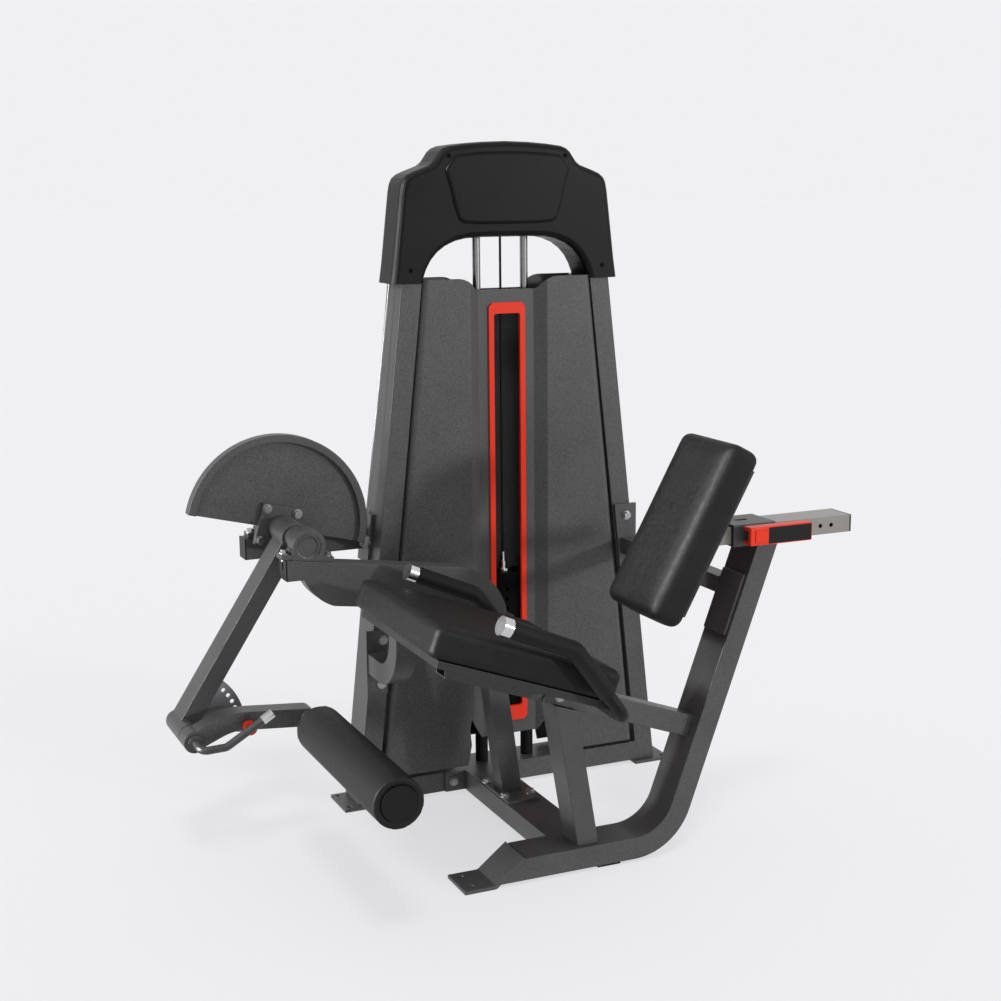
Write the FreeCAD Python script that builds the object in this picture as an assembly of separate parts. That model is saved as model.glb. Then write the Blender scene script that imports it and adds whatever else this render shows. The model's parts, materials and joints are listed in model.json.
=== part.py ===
import FreeCAD, Part
import math
import os

# Leg extension machine with a shrouded weight stack.
# Millimetres, +Z up, floor at Z = 0. The user faces -X. The stack tower stands at X = 0,
# with the front faces of its uprights on Y = 0; the seat is on the -Y side of the tower.

os.makedirs("parts", exist_ok=True)
V = FreeCAD.Vector

# ---------------------------------------------------------------- driving dimensions
PLATE = 8.0                 # bolted mounting plates and floor plates
WALL = 3.0                  # wall of the structural tubes
TUBE_LONG = 100.0           # wide side of the main tube section
TUBE_SHORT = 50.0           # narrow side of the main tube section
FIT = 0.05                  # radial running clearance
HOLE_GAP = 0.3              # radial clearance of a bolt in its hole

# stack tower
UPRIGHT_FLOOR_X = 417.0     # half width over the uprights at floor level
UPRIGHT_LEAN = 0.111        # inward lean, X per Z
UPRIGHT_TOP = 1425.0
BEAM_TOP = 1475.0
TOWER_MID_Y = 50.0
STACK_Y = 45.0              # plane of the guide rods, the cable and the cam

# weight stack
ROD_X = 63.5
ROD_R = 9.75
PLATE_COUNT_LOW = 9
PLATE_COUNT_LIFTED = 6
PLATE_PITCH = 25.5
PLATE_THICK = 25.0
PLATE_HALF_X = 150.0
PLATE_HALF_Y = 28.0
STACK_BOTTOM = 140.0
TOP_PLATE_THICK = 30.0
SELECTOR_R = 10.0
PIN_R = 4.0

# pulleys and cable
CABLE_R = 3.0
PULLEY_R = 36.0             # to the cable centre
PULLEY_FLANGE_R = 41.0
PULLEY_Z = 1496.0
OUTER_PULLEY_X = -226.0
AXLE_R = 6.0

# knee mechanism
KNEE_X = -586.0
KNEE_Z = 722.0
CAM_R = 220.0               # outside of the rim
CAM_RIM = 18.0
CAM_TILT = 14.0             # the flat edge slopes down to the right
SHAFT_R = 27.0
FOOT_PIVOT_X = -860.0
FOOT_PIVOT_Z = 297.0
ROLLER_X = -597.0
ROLLER_Z = 318.0
ROLLER_R = 55.0
ROLLER_Y0 = -785.0
ROLLER_Y1 = -277.0
SECTOR_HOLE_RADIUS = 124.0
SECTOR_HOLE_STEP = 8.0

# seat side
SEAT_MID_Y = -531.0
SEAT_ANGLE = 20.0
SEAT_X = -497.0
SEAT_Z = 590.0
SEAT_Y0 = -765.0
SEAT_Y1 = -297.0
FRAME_Y0 = -581.0
FRAME_Y1 = -482.0

# back rest
BACK_ANGLE = 29.0           # recline from the vertical
BACK_X = 44.0
BACK_Z = 587.0
BACK_LENGTH = 427.0
BACK_THICK = 84.0
BACK_Y0 = -648.0
BACK_Y1 = -414.0
SLIDER_END_X = 611.0
SLEEVE_X0 = 290.0
SLEEVE_X1 = 400.0


# anchor holes in the tower's floor plates; their middle is the origin of the saved pieces
ANCHOR_X = 440.0
ANCHOR_Y0 = 0.0
ANCHOR_Y1 = 85.0
ANCHOR_R = 6.0
ORIGIN_Y = (ANCHOR_Y0 + ANCHOR_Y1) / 2


# ---------------------------------------------------------------- helpers
def save(shape, name):
    """Writes the piece with the middle of the tower's anchor holes as the origin."""
    moved = shape.copy()
    moved.translate(V(0, -ORIGIN_Y, 0))
    moved.exportStep("parts/" + name + ".step")


def box(x0, x1, y0, y1, z0, z1):
    return Part.makeBox(x1 - x0, y1 - y0, z1 - z0, V(x0, y0, z0))


def rod(start, end, radius):
    start = V(*start)
    along = V(*end) - start
    return Part.makeCylinder(radius, along.Length, start, along)


def rod_y(x, z, y0, y1, radius):
    return rod((x, y0, z), (x, y1, z), radius)


def rod_z(x, y, z0, z1, radius):
    return rod((x, y, z0), (x, y, z1), radius)


def ring_y(x, z, y0, y1, outer, inner):
    return rod_y(x, z, y0, y1, outer).cut(rod_y(x, z, y0 - 1, y1 + 1, inner))


def ring_z(x, y, z0, z1, outer, inner):
    return rod_z(x, y, z0, z1, outer).cut(rod_z(x, y, z0 - 1, z1 + 1, inner))


def place(plane, a, b, level):
    """A point of a 2D drawing in one of the three coordinate planes."""
    if plane == "xz":
        return V(a, level, b)
    if plane == "yz":
        return V(level, a, b)
    return V(a, b, level)


def depth_vector(plane, depth):
    if plane == "xz":
        return V(0, depth, 0)
    if plane == "yz":
        return V(depth, 0, 0)
    return V(0, 0, depth)


def extruded(face, way):
    """The face pushed along a vector, with its surfaces facing outwards."""
    body = face.extrude(way)
    return body if body.Volume > 0 else body.reversed()


def slab(plane, points, low, high):
    """A polygon drawn in a plane, made solid between two levels across that plane."""
    corners = [place(plane, a, b, low) for a, b in points]
    face = Part.Face(Part.makePolygon(corners + corners[:1]))
    return extruded(face, depth_vector(plane, high - low))


def shifted_lines(points, distance):
    """The open polyline moved sideways, with mitred corners."""
    moved = []
    count = len(points)
    for i in range(count):
        ways = []
        if i > 0:
            ways.append((points[i][0] - points[i - 1][0], points[i][1] - points[i - 1][1]))
        if i < count - 1:
            ways.append((points[i + 1][0] - points[i][0], points[i + 1][1] - points[i][1]))
        normals = []
        for du, dv in ways:
            size = math.hypot(du, dv)
            normals.append((-dv / size, du / size))
        first = normals[0]
        last = normals[-1]
        scale = 1.0 + first[0] * last[0] + first[1] * last[1]
        moved.append((points[i][0] + distance * (first[0] + last[0]) / scale,
                      points[i][1] + distance * (first[1] + last[1]) / scale))
    return moved


def rounded_edges(points, radii, make):
    """Lines and tangent arcs through the points; `make` turns (a, b) into a vector."""
    edges = []
    here = points[0]
    for i in range(1, len(points) - 1):
        p = points[i]
        back = (points[i - 1][0] - p[0], points[i - 1][1] - p[1])
        ahead = (points[i + 1][0] - p[0], points[i + 1][1] - p[1])
        size_back = math.hypot(*back)
        size_ahead = math.hypot(*ahead)
        back = (back[0] / size_back, back[1] / size_back)
        ahead = (ahead[0] / size_ahead, ahead[1] / size_ahead)
        half = math.acos(back[0] * ahead[0] + back[1] * ahead[1]) / 2
        reach = radii[i - 1] / math.tan(half)
        start = (p[0] + back[0] * reach, p[1] + back[1] * reach)
        end = (p[0] + ahead[0] * reach, p[1] + ahead[1] * reach)
        middle = (back[0] + ahead[0], back[1] + ahead[1])
        size = math.hypot(*middle)
        away = radii[i - 1] / math.sin(half) - radii[i - 1]
        top = (p[0] + middle[0] / size * away, p[1] + middle[1] / size * away)
        edges.append(Part.makeLine(make(*here), make(*start)))
        edges.append(Part.Arc(make(*start), make(*top), make(*end)).toShape())
        here = end
    edges.append(Part.makeLine(make(*here), make(*points[-1])))
    return edges


def band(plane, points, radii, width, low, high):
    """A bar of constant width along a polyline with rounded corners."""
    sides = []
    for sign in (1, -1):
        line = shifted_lines(points, sign * width / 2)
        side_radii = []
        for i in range(1, len(points) - 1):
            turn = ((points[i][0] - points[i - 1][0]) * (points[i + 1][1] - points[i][1])
                    - (points[i][1] - points[i - 1][1]) * (points[i + 1][0] - points[i][0]))
            inner = sign if turn > 0 else -sign
            side_radii.append(radii[i - 1] - inner * width / 2)
        sides.append((line, side_radii))
    edges = []
    for line, side_radii in sides:
        edges += rounded_edges(line, side_radii, lambda a, b: place(plane, a, b, low))
    for end in (0, -1):
        edges.append(Part.makeLine(place(plane, *sides[0][0][end], low), place(plane, *sides[1][0][end], low)))
    outline = Part.Wire(Part.__sortEdges__(edges))
    return extruded(Part.Face(outline), depth_vector(plane, high - low))


def lengthened(points, extra):
    """The polyline with both ends pushed outwards."""
    def push(tip, inside):
        size = math.hypot(tip[0] - inside[0], tip[1] - inside[1])
        return (tip[0] + (tip[0] - inside[0]) / size * extra, tip[1] + (tip[1] - inside[1]) / size * extra)
    return [push(points[0], points[1])] + list(points[1:-1]) + [push(points[-1], points[-2])]


def tube(plane, points, radii, width, low, high, wall=WALL):
    """A rectangular tube along a polyline, open at both ends."""
    outer = band(plane, points, radii, width, low, high)
    inner = band(plane, lengthened(points, 1.0), radii, width - 2 * wall, low + wall, high - wall)
    return outer.cut(inner)


def pipe(points, bend, radius):
    """A round bar along a 3D polyline with rounded corners."""
    points = [V(*p) for p in points]
    edges = []
    here = points[0]
    for i in range(1, len(points) - 1):
        back = (points[i - 1] - points[i]).normalize()
        ahead = (points[i + 1] - points[i]).normalize()
        half = back.getAngle(ahead) / 2
        reach = bend / math.tan(half)
        start = points[i] + back * reach
        end = points[i] + ahead * reach
        middle = (back + ahead).normalize()
        top = points[i] + middle * (bend / math.sin(half) - bend)
        edges.append(Part.makeLine(here, start))
        edges.append(Part.Arc(start, top, end).toShape())
        here = end
    edges.append(Part.makeLine(here, points[-1]))
    profile = Part.Wire(Part.Circle(points[0], points[1] - points[0], radius).toShape())
    return Part.Wire(edges).makePipeShell([profile], True, True)


def mirrored(shape):
    """The same piece on the other side of the tower's middle plane X = 0."""
    return shape.mirror(V(0, 0, 0), V(1, 0, 0))


def hexagon(base, direction, across_radius, height):
    """A bolt head or nut."""
    direction = V(*direction).normalize()
    side = direction.cross(V(0.31, 0.52, 0.79)).normalize()
    other = direction.cross(side)
    base = V(*base)
    corners = []
    for i in range(6):
        angle = math.radians(60 * i)
        corners.append(base + side * (across_radius * math.cos(angle)) + other * (across_radius * math.sin(angle)))
    return extruded(Part.Face(Part.makePolygon(corners + corners[:1])), direction * height)


def bolt(seat, direction, shank_length, shank_r=5.0, head_r=9.5):
    """A bolt whose washer sits at `seat`; `direction` points out of the surface."""
    out = V(*direction).normalize()
    seat = V(*seat)
    washer = Part.makeCylinder(head_r * 1.25, 2.0, seat, out)
    head = hexagon(seat + out * 2.0, out, head_r, head_r * 0.7)
    shank = Part.makeCylinder(shank_r, shank_length + 1.0, seat - out * shank_length, out)
    return washer.fuse(head).fuse(shank).removeSplitter()


def drilled(shape, spots, direction, radius, depth):
    """Straight holes at the spots, running both ways along the direction."""
    out = V(*direction).normalize()
    for spot in spots:
        shape = shape.cut(Part.makeCylinder(radius, 2 * depth, V(*spot) - out * depth, out))
    return shape


def upright_outer(z):
    return UPRIGHT_FLOOR_X - UPRIGHT_LEAN * z


UPRIGHT_WIDTH_X = TUBE_SHORT * math.hypot(1.0, UPRIGHT_LEAN)


def upright_inner(z):
    return upright_outer(z) - UPRIGHT_WIDTH_X


# ---------------------------------------------------------------- stack tower frame
def leaning_tube(z0, z1):
    corners = [(upright_outer(z0), z0), (upright_outer(z1), z1), (upright_inner(z1), z1), (upright_inner(z0), z0)]
    bore = [(upright_outer(z) - WALL, z) for z in (z0 - 1, z1 + 1)] + \
           [(upright_inner(z) + WALL, z) for z in (z1 + 1, z0 - 1)]
    return slab("xz", corners, 0, TUBE_LONG).cut(slab("xz", bore, WALL, TUBE_LONG - WALL))


LEFT_PLATE_BOLTS = [(-351, -PLATE, 314), (-345, -PLATE, 425)]
RIGHT_PLATE_BOLTS = [(326, -PLATE, 676), (331, -PLATE, 548)]
BOLT_R = 5.0
TOWER_BOLT_SHANK = 16.0

upright = leaning_tube(PLATE, UPRIGHT_TOP)
upright_left = drilled(mirrored(upright), LEFT_PLATE_BOLTS, (0, 1, 0), BOLT_R + HOLE_GAP, 30)
upright_right = drilled(upright, RIGHT_PLATE_BOLTS, (0, 1, 0), BOLT_R + HOLE_GAP, 30)

# floor plates under the uprights, each with two anchor holes
foot = box(355, 455, -15, TUBE_LONG, 0, PLATE)
foot = drilled(foot, [(ANCHOR_X, ANCHOR_Y0, 0), (ANCHOR_X, ANCHOR_Y1, 0)], (0, 0, 1), ANCHOR_R, 20)

# cross tube at the floor, with slanted ends against the uprights
CROSS_BOLTS = [(-164, -PLATE, 34), (-2, -PLATE, 34)]
cross_outer = [(-upright_inner(8), 8), (upright_inner(8), 8), (upright_inner(58), 58), (-upright_inner(58), 58)]
cross_inner = [(-upright_inner(11) - 1, 11), (upright_inner(11) + 1, 11),
               (upright_inner(55) + 1, 55), (-upright_inner(55) - 1, 55)]
cross_tube = slab("xz", cross_outer, 0, TUBE_LONG).cut(slab("xz", cross_inner, WALL, TUBE_LONG - WALL))
cross_tube = drilled(cross_tube, CROSS_BOLTS, (0, 1, 0), BOLT_R + HOLE_GAP, 30)

# beam across the tops of the uprights, under the hood
BEAM_HALF = 256.0
beam = box(-BEAM_HALF, BEAM_HALF, 0, TUBE_LONG, UPRIGHT_TOP, BEAM_TOP)
beam = beam.cut(box(-BEAM_HALF - 1, BEAM_HALF + 1, WALL, TUBE_LONG - WALL, UPRIGHT_TOP + WALL, BEAM_TOP - WALL))
beam = beam.cut(rod_z(0, STACK_Y, UPRIGHT_TOP - 5, BEAM_TOP + 5, 14))
for x in (OUTER_PULLEY_X, -PULLEY_R):
    beam = beam.cut(box(x - PULLEY_FLANGE_R - 3, x + PULLEY_FLANGE_R + 3, STACK_Y - 11.5, STACK_Y + 11.5,
                        UPRIGHT_TOP + WALL + 1, BEAM_TOP + 5))
save(Part.makeCompound([upright_left, upright_right, cross_tube, beam]), "tower_frame")

# ---------------------------------------------------------------- shrouds
WING_Y = -6.0
SHEET = 2.0
STRIP_HALF = 74.0
STRIP_DEPTH = 17.0
BEVEL_HALF = 103.0
WING_TOP = 1293.0
WING_BOTTOM = 68.0
STRIP_TOP = 1263.0
STRIP_BOTTOM = 131.0
ROLL_R = 14.0
RETURN_DEPTH = 34.0
WINDOW_HALF = 40.0
WINDOW_Z0 = 199.0
WINDOW_Z1 = 1210.0


def shroud_edge(z):
    return 221.0 + (WING_TOP - z) * 127.0 / (WING_TOP - WING_BOTTOM)


EDGE_SLOPE = 127.0 / (WING_TOP - WING_BOTTOM)


def shroud(window):
    low = WING_BOTTOM
    high = WING_TOP
    strip_y = WING_Y + STRIP_DEPTH
    # folded section of the channel and the flat wings
    face = [(-400, WING_Y), (-BEVEL_HALF, WING_Y), (-STRIP_HALF, strip_y), (STRIP_HALF, strip_y),
            (BEVEL_HALF, WING_Y), (400, WING_Y)]
    sheet = band("xy", [(a, b + SHEET / 2) for a, b in face], [4.0] * 4, SHEET, low, high)
    inset = ROLL_R * math.hypot(1.0, EDGE_SLOPE)
    right = [(BEVEL_HALF - 26, STRIP_TOP), (84, STRIP_TOP + 4), (92, 1276), (106, 1286), (118, 1291),
             (130, high), (shroud_edge(high) - inset, high), (shroud_edge(low) - inset, low),
             (122, low), (112, 120), (116, 160), (112, 187), (98, STRIP_BOTTOM + 30), (78, STRIP_BOTTOM)]
    outline = right + [(-a, b) for a, b in reversed(right)]
    sheet = sheet.common(slab("xz", outline, WING_Y - 20, WING_Y + 60))
    # rolled outer edge with its return flange, extruded along the leaning edge line
    start = V(shroud_edge(low), 0, low)
    along = V(shroud_edge(high) - shroud_edge(low), 0, high - low)
    across = V(along.z, 0, -along.x).normalize()

    def section(reach, depth):
        return start - across * ROLL_R + across * reach + V(0, depth, 0)

    outer_mid = ROLL_R * math.sin(math.radians(45))
    outer_low = ROLL_R - ROLL_R * math.cos(math.radians(45))
    thin = ROLL_R - SHEET
    inner_mid = thin * math.sin(math.radians(45))
    inner_low = ROLL_R - thin * math.cos(math.radians(45))
    edges = [
        Part.Arc(section(0, WING_Y), section(outer_mid, WING_Y + outer_low), section(ROLL_R, WING_Y + ROLL_R)).toShape(),
        Part.makeLine(section(ROLL_R, WING_Y + ROLL_R), section(ROLL_R, RETURN_DEPTH)),
        Part.makeLine(section(ROLL_R, RETURN_DEPTH), section(thin, RETURN_DEPTH)),
        Part.makeLine(section(thin, RETURN_DEPTH), section(thin, WING_Y + ROLL_R)),
        Part.Arc(section(thin, WING_Y + ROLL_R), section(inner_mid, WING_Y + inner_low), section(0, WING_Y + SHEET)).toShape(),
        Part.makeLine(section(0, WING_Y + SHEET), section(0, WING_Y)),
    ]
    roll = extruded(Part.Face(Part.Wire(Part.__sortEdges__(edges))), along * 1.02)
    roll = roll.cut(box(-600, 600, -100, 200, high, high + 100))
    # folded lip along the top of the strip
    lip = box(-STRIP_HALF + 6, STRIP_HALF - 6, strip_y, strip_y + 14, STRIP_TOP - SHEET, STRIP_TOP)
    skin = sheet.fuse(roll).fuse(mirrored(roll)).fuse(lip)
    if window:
        skin = skin.cut(box(-WINDOW_HALF, WINDOW_HALF, strip_y - 5, strip_y + 9, WINDOW_Z0, WINDOW_Z1))
    return skin.removeSplitter()


front_shroud = shroud(True)
rear_shroud = shroud(False).mirror(V(0, TOWER_MID_Y, 0), V(0, 1, 0))

# short brackets that hold the shrouds' return flanges to the uprights
clips = []
for z0 in (110.0, 1180.0):
    z1 = z0 + 30
    corners = [(shroud_edge(z0) + 0.2, z0), (upright_inner(z0), z0), (upright_inner(z1), z1), (shroud_edge(z1) + 0.2, z1)]
    for y0 in (20.0, 2 * TOWER_MID_Y - 24.0):
        clip = slab("xz", corners, y0, y0 + 4)
        clips += [clip, mirrored(clip)]

# red frame around the selector window
TRIM_HALF = 48.5
TRIM_Z0 = 166.0
TRIM_Z1 = 1232.0
TRIM_IN = 35.0
TRIM_IN_Z0 = 204.0
TRIM_IN_Z1 = 1205.0
TRIM_CHAMFER = 10.0


def chamfered(half, z0, z1, cut):
    return [(-half + cut, z0), (half - cut, z0), (half, z0 + cut), (half, z1 - cut),
            (half - cut, z1), (-half + cut, z1), (-half, z1 - cut), (-half, z0 + cut)]


strip_front = WING_Y + STRIP_DEPTH
trim = slab("xz", chamfered(TRIM_HALF, TRIM_Z0, TRIM_Z1, TRIM_CHAMFER), strip_front - 5, strip_front)
collar = box(-WINDOW_HALF + 0.3, WINDOW_HALF - 0.3, strip_front, strip_front + 4, WINDOW_Z0 + 0.3, WINDOW_Z1 - 0.3)
opening = slab("xz", chamfered(TRIM_IN, TRIM_IN_Z0, TRIM_IN_Z1, 4.0), strip_front - 10, strip_front + 10)
trim = trim.fuse(collar).cut(opening).removeSplitter()
save(trim, "window_trim")

# ---------------------------------------------------------------- hood
HOOD_Z0 = 1285.0
HOOD_WALL = 4.0
HOOD_SIDE = [(304, 1255), (293, 1330), (286, 1390), (279, 1450), (273, 1500), (269, 1519), (263, 1531), (252, 1540),
             (236, 1547), (214, 1555), (198, 1561), (188, 1569), (180, 1580), (171, 1593), (161, 1601), (148, 1606)]
HOOD_TOP = [(110, 1611), (60, 1615), (0, 1617)]
ARCH = [(0, 1390), (60, 1390), (105, 1388), (134, 1382), (160, 1371), (181, 1356), (197, 1338), (209, 1317),
        (217, 1296), (221, 1276), (223, 1255)]


def closed_offset(points, distance):
    """The closed polygon moved inwards, with mitred corners."""
    moved = []
    count = len(points)
    for i in range(count):
        before = points[i - 1]
        here = points[i]
        after = points[(i + 1) % count]
        normals = []
        for p, q in ((before, here), (here, after)):
            size = math.hypot(q[0] - p[0], q[1] - p[1])
            normals.append((-(q[1] - p[1]) / size, (q[0] - p[0]) / size))
        scale = 1.0 + normals[0][0] * normals[1][0] + normals[0][1] * normals[1][1]
        moved.append((here[0] + distance * (normals[0][0] + normals[1][0]) / scale,
                      here[1] + distance * (normals[0][1] + normals[1][1]) / scale))
    return moved


hood_outline = HOOD_SIDE + HOOD_TOP + [(-a, b) for a, b in reversed(HOOD_SIDE + HOOD_TOP[:-1])]
hood_outline += [(-a, b) for a, b in reversed(ARCH)] + ARCH[1:]


def loft(sections):
    """A solid through closed polygons drawn at different Y levels."""
    wires = []
    for level, points in sections:
        corners = [V(a, level, b) for a, b in points]
        wires.append(Part.makePolygon(corners + corners[:1]))
    return Part.makeLoft(wires, True, True)


HOOD_FRONT = -6.0
HOOD_SEAM = 0.3
ROUNDING = [(0.0, 14.0), (2.5, 8.0), (7.0, 3.2), (14.0, 0.6), (20.0, 0.0)]   # depth behind the front, inset


def hood_body(extra, end):
    sections = [(HOOD_FRONT + extra + depth, closed_offset(hood_outline, inset + extra)) for depth, inset in ROUNDING]
    sections.append((end, closed_offset(hood_outline, extra)))
    return loft(sections)


PANEL = [(130, 1432), (142, 1466), (151, 1505), (161, 1538), (164, 1549), (158, 1560), (146, 1576), (138, 1584),
         (100, 1589), (50, 1592), (0, 1593)]
panel_outline = PANEL + [(-a, b) for a, b in reversed(PANEL[:-1])] + [(-115, 1424), (-80, 1421), (80, 1421), (115, 1424)]
hood_shell = hood_body(0.0, TOWER_MID_Y - HOOD_SEAM).cut(hood_body(HOOD_WALL, TOWER_MID_Y + 5))
hood_shell = hood_shell.cut(box(-400, 400, -50, 150, 1200, HOOD_Z0))
panel = loft([(HOOD_FRONT - 6, closed_offset(panel_outline, 8)), (HOOD_FRONT - 4, closed_offset(panel_outline, 3)),
              (HOOD_FRONT + 1, panel_outline)])
HOOD_SCREWS = [(153, 1582), (-153, 1582), (254, 1316), (-254, 1316)]
hood_front = hood_shell.fuse(panel)
hood_rear = hood_shell.mirror(V(0, TOWER_MID_Y, 0), V(0, 1, 0))
rod_holes = [rod_z(x, STACK_Y, 1200, UPRIGHT_TOP, ROD_R + 0.5) for x in (-ROD_X, ROD_X)]
rod_holes.append(rod_z(0, STACK_Y, 1200, UPRIGHT_TOP, 3 * CABLE_R))
for blocker in rod_holes + [upright_left, upright_right, beam]:
    hood_front = hood_front.cut(blocker)
    hood_rear = hood_rear.cut(blocker)
SCREW_R = 5.0
for x, z in HOOD_SCREWS:
    hood_front = hood_front.cut(rod_y(x, z, HOOD_FRONT - 20, HOOD_FRONT + 20, SCREW_R + HOLE_GAP))
save(front_shroud.cut(hood_front), "front_shroud")
save(rear_shroud.cut(hood_rear), "rear_shroud")
save(hood_front, "hood_front")
save(hood_rear, "hood_rear")
screws = []
for x, z in HOOD_SCREWS:
    screws.append(rod_y(x, z, HOOD_FRONT - 0.5, HOOD_FRONT + 5.5, SCREW_R))
save(Part.makeCompound(screws), "hood_screws")

# ---------------------------------------------------------------- weight stack
ROD_BOTTOM = 58.0
rods = [rod_z(x, STACK_Y, ROD_BOTTOM, UPRIGHT_TOP, ROD_R) for x in (-ROD_X, ROD_X)]
save(Part.makeCompound(rods), "guide_rods")
bumpers = [ring_z(x, STACK_Y, ROD_BOTTOM, STACK_BOTTOM - 0.1, 16, ROD_R + FIT) for x in (-ROD_X, ROD_X)]


def weight_plate(index):
    z0 = STACK_BOTTOM + index * PLATE_PITCH
    z1 = z0 + PLATE_THICK
    plate = box(-PLATE_HALF_X, PLATE_HALF_X, STACK_Y - PLATE_HALF_Y, STACK_Y + PLATE_HALF_Y, z0, z1)
    for x in (-ROD_X, ROD_X):
        plate = plate.cut(rod_z(x, STACK_Y, z0 - 1, z1 + 1, ROD_R + 1.5))
    plate = plate.cut(rod_z(0, STACK_Y, z0 - 1, z1 + 1, SELECTOR_R + 1.0))
    middle = z0 + PLATE_THICK / 2
    return plate.cut(rod_y(0, middle, STACK_Y - PLATE_HALF_Y - 1, STACK_Y, PIN_R + 0.6))


lower = [weight_plate(i) for i in range(PLATE_COUNT_LOW)]
lifted = [weight_plate(PLATE_COUNT_LOW + i) for i in range(PLATE_COUNT_LIFTED)]
save(Part.makeCompound(lower), "weight_plates_lower")
save(Part.makeCompound(lifted), "weight_plates_lifted")

stack_top = STACK_BOTTOM + (PLATE_COUNT_LOW + PLATE_COUNT_LIFTED) * PLATE_PITCH
head_top = stack_top + TOP_PLATE_THICK
top_plate = box(-PLATE_HALF_X, PLATE_HALF_X, STACK_Y - PLATE_HALF_Y, STACK_Y + PLATE_HALF_Y, stack_top, head_top)
for x in (-ROD_X, ROD_X):
    top_plate = top_plate.fuse(rod_z(x, STACK_Y, stack_top, head_top + 30, 16))
    top_plate = top_plate.cut(rod_z(x, STACK_Y, stack_top - 1, head_top + 40, ROD_R + FIT))
top_plate = top_plate.cut(rod_z(0, STACK_Y, stack_top - 1, head_top + 1, SELECTOR_R + FIT))
save(top_plate, "top_plate")

# selector rod with a cross hole for every plate and a cable eye on top
selector = rod_z(0, STACK_Y, STACK_BOTTOM + 2, head_top + 26, SELECTOR_R)
selector = selector.fuse(rod_z(0, STACK_Y, head_top + 0.1, head_top + 8, 18))
selector = selector.fuse(rod_z(0, STACK_Y, head_top + 26, head_top + 50, 7))
for i in range(PLATE_COUNT_LOW + PLATE_COUNT_LIFTED):
    middle = STACK_BOTTOM + i * PLATE_PITCH + PLATE_THICK / 2
    selector = selector.cut(rod_y(0, middle, STACK_Y - 20, STACK_Y + 20, PIN_R + FIT))
CABLE_LOW = head_top + 50
selector = selector.cut(rod_z(0, STACK_Y, CABLE_LOW - 20, CABLE_LOW + 1, CABLE_R + FIT))
save(selector.removeSplitter(), "selector_rod")

# selector pin, pushed in under the lifted plates' lowest plate
pin_z = STACK_BOTTOM + PLATE_COUNT_LOW * PLATE_PITCH + PLATE_THICK / 2
pin = rod_y(0, pin_z, STACK_Y - PLATE_HALF_Y - 6, STACK_Y + 9, PIN_R)
pin = pin.fuse(rod_y(0, pin_z, STACK_Y - PLATE_HALF_Y - 30, STACK_Y - PLATE_HALF_Y - 2, 11))
save(pin.removeSplitter(), "selector_pin")

# ---------------------------------------------------------------- pulleys and cable
GROOVE_GAP = 0.1
PULLEY_HALF = 10.0


def pulley(x):
    wheel = rod_y(x, PULLEY_Z, STACK_Y - PULLEY_HALF, STACK_Y + PULLEY_HALF, PULLEY_FLANGE_R)
    groove = Part.makeTorus(PULLEY_R, CABLE_R + GROOVE_GAP, V(x, STACK_Y, PULLEY_Z), V(0, 1, 0))
    slot = ring_y(x, PULLEY_Z, STACK_Y - CABLE_R - GROOVE_GAP, STACK_Y + CABLE_R + GROOVE_GAP, PULLEY_FLANGE_R + 5, PULLEY_R)
    wheel = wheel.cut(groove).cut(slot)
    return wheel.cut(rod_y(x, PULLEY_Z, 0, 100, AXLE_R + FIT))


INNER_PULLEY_X = -PULLEY_R
save(pulley(OUTER_PULLEY_X), "pulley_outer")
save(pulley(INNER_PULLEY_X), "pulley_inner")

brackets = []
axles = []
EAR_GAP = 2.0
EAR_THICK = 4.0
ear_y = STACK_Y - PULLEY_HALF - EAR_GAP
far_ear_y = STACK_Y + PULLEY_HALF + EAR_GAP
for x in (OUTER_PULLEY_X, INNER_PULLEY_X):
    holder = box(x - 22, x + 22, ear_y - EAR_THICK, far_ear_y + EAR_THICK, BEAM_TOP, BEAM_TOP + 40)
    holder = holder.cut(box(x - 50, x + 50, ear_y, far_ear_y, BEAM_TOP - 1, BEAM_TOP + 50))
    holder = holder.cut(rod_y(x, PULLEY_Z, 0, 100, AXLE_R))
    brackets += holder.Solids
    axle = rod_y(x, PULLEY_Z, ear_y - EAR_THICK, far_ear_y + EAR_THICK, AXLE_R)
    axle = axle.fuse(rod_y(x, PULLEY_Z, ear_y - EAR_THICK - 5, ear_y - EAR_THICK, 10))
    axle = axle.fuse(rod_y(x, PULLEY_Z, far_ear_y + EAR_THICK, far_ear_y + EAR_THICK + 5, 10))
    axles.append(axle.removeSplitter())
save(Part.makeCompound(brackets + axles), "pulley_brackets")

# the cable leaves the cam on its right side and meets the outer pulley on its left side
CAM_CABLE_R = CAM_R + CABLE_R + 0.1
run_x = OUTER_PULLEY_X - KNEE_X
run_z = PULLEY_Z - KNEE_Z
run_lean = math.atan2(run_x, run_z) - math.asin((CAM_CABLE_R + PULLEY_R) / math.hypot(run_x, run_z))
cam_touch = (KNEE_X + CAM_CABLE_R * math.cos(run_lean), STACK_Y, KNEE_Z - CAM_CABLE_R * math.sin(run_lean))
pulley_touch = (OUTER_PULLEY_X - PULLEY_R * math.cos(run_lean), STACK_Y, PULLEY_Z + PULLEY_R * math.sin(run_lean))


def around(x, z, radius, degrees):
    return V(x + radius * math.cos(math.radians(degrees)), STACK_Y, z + radius * math.sin(math.radians(degrees)))


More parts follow.
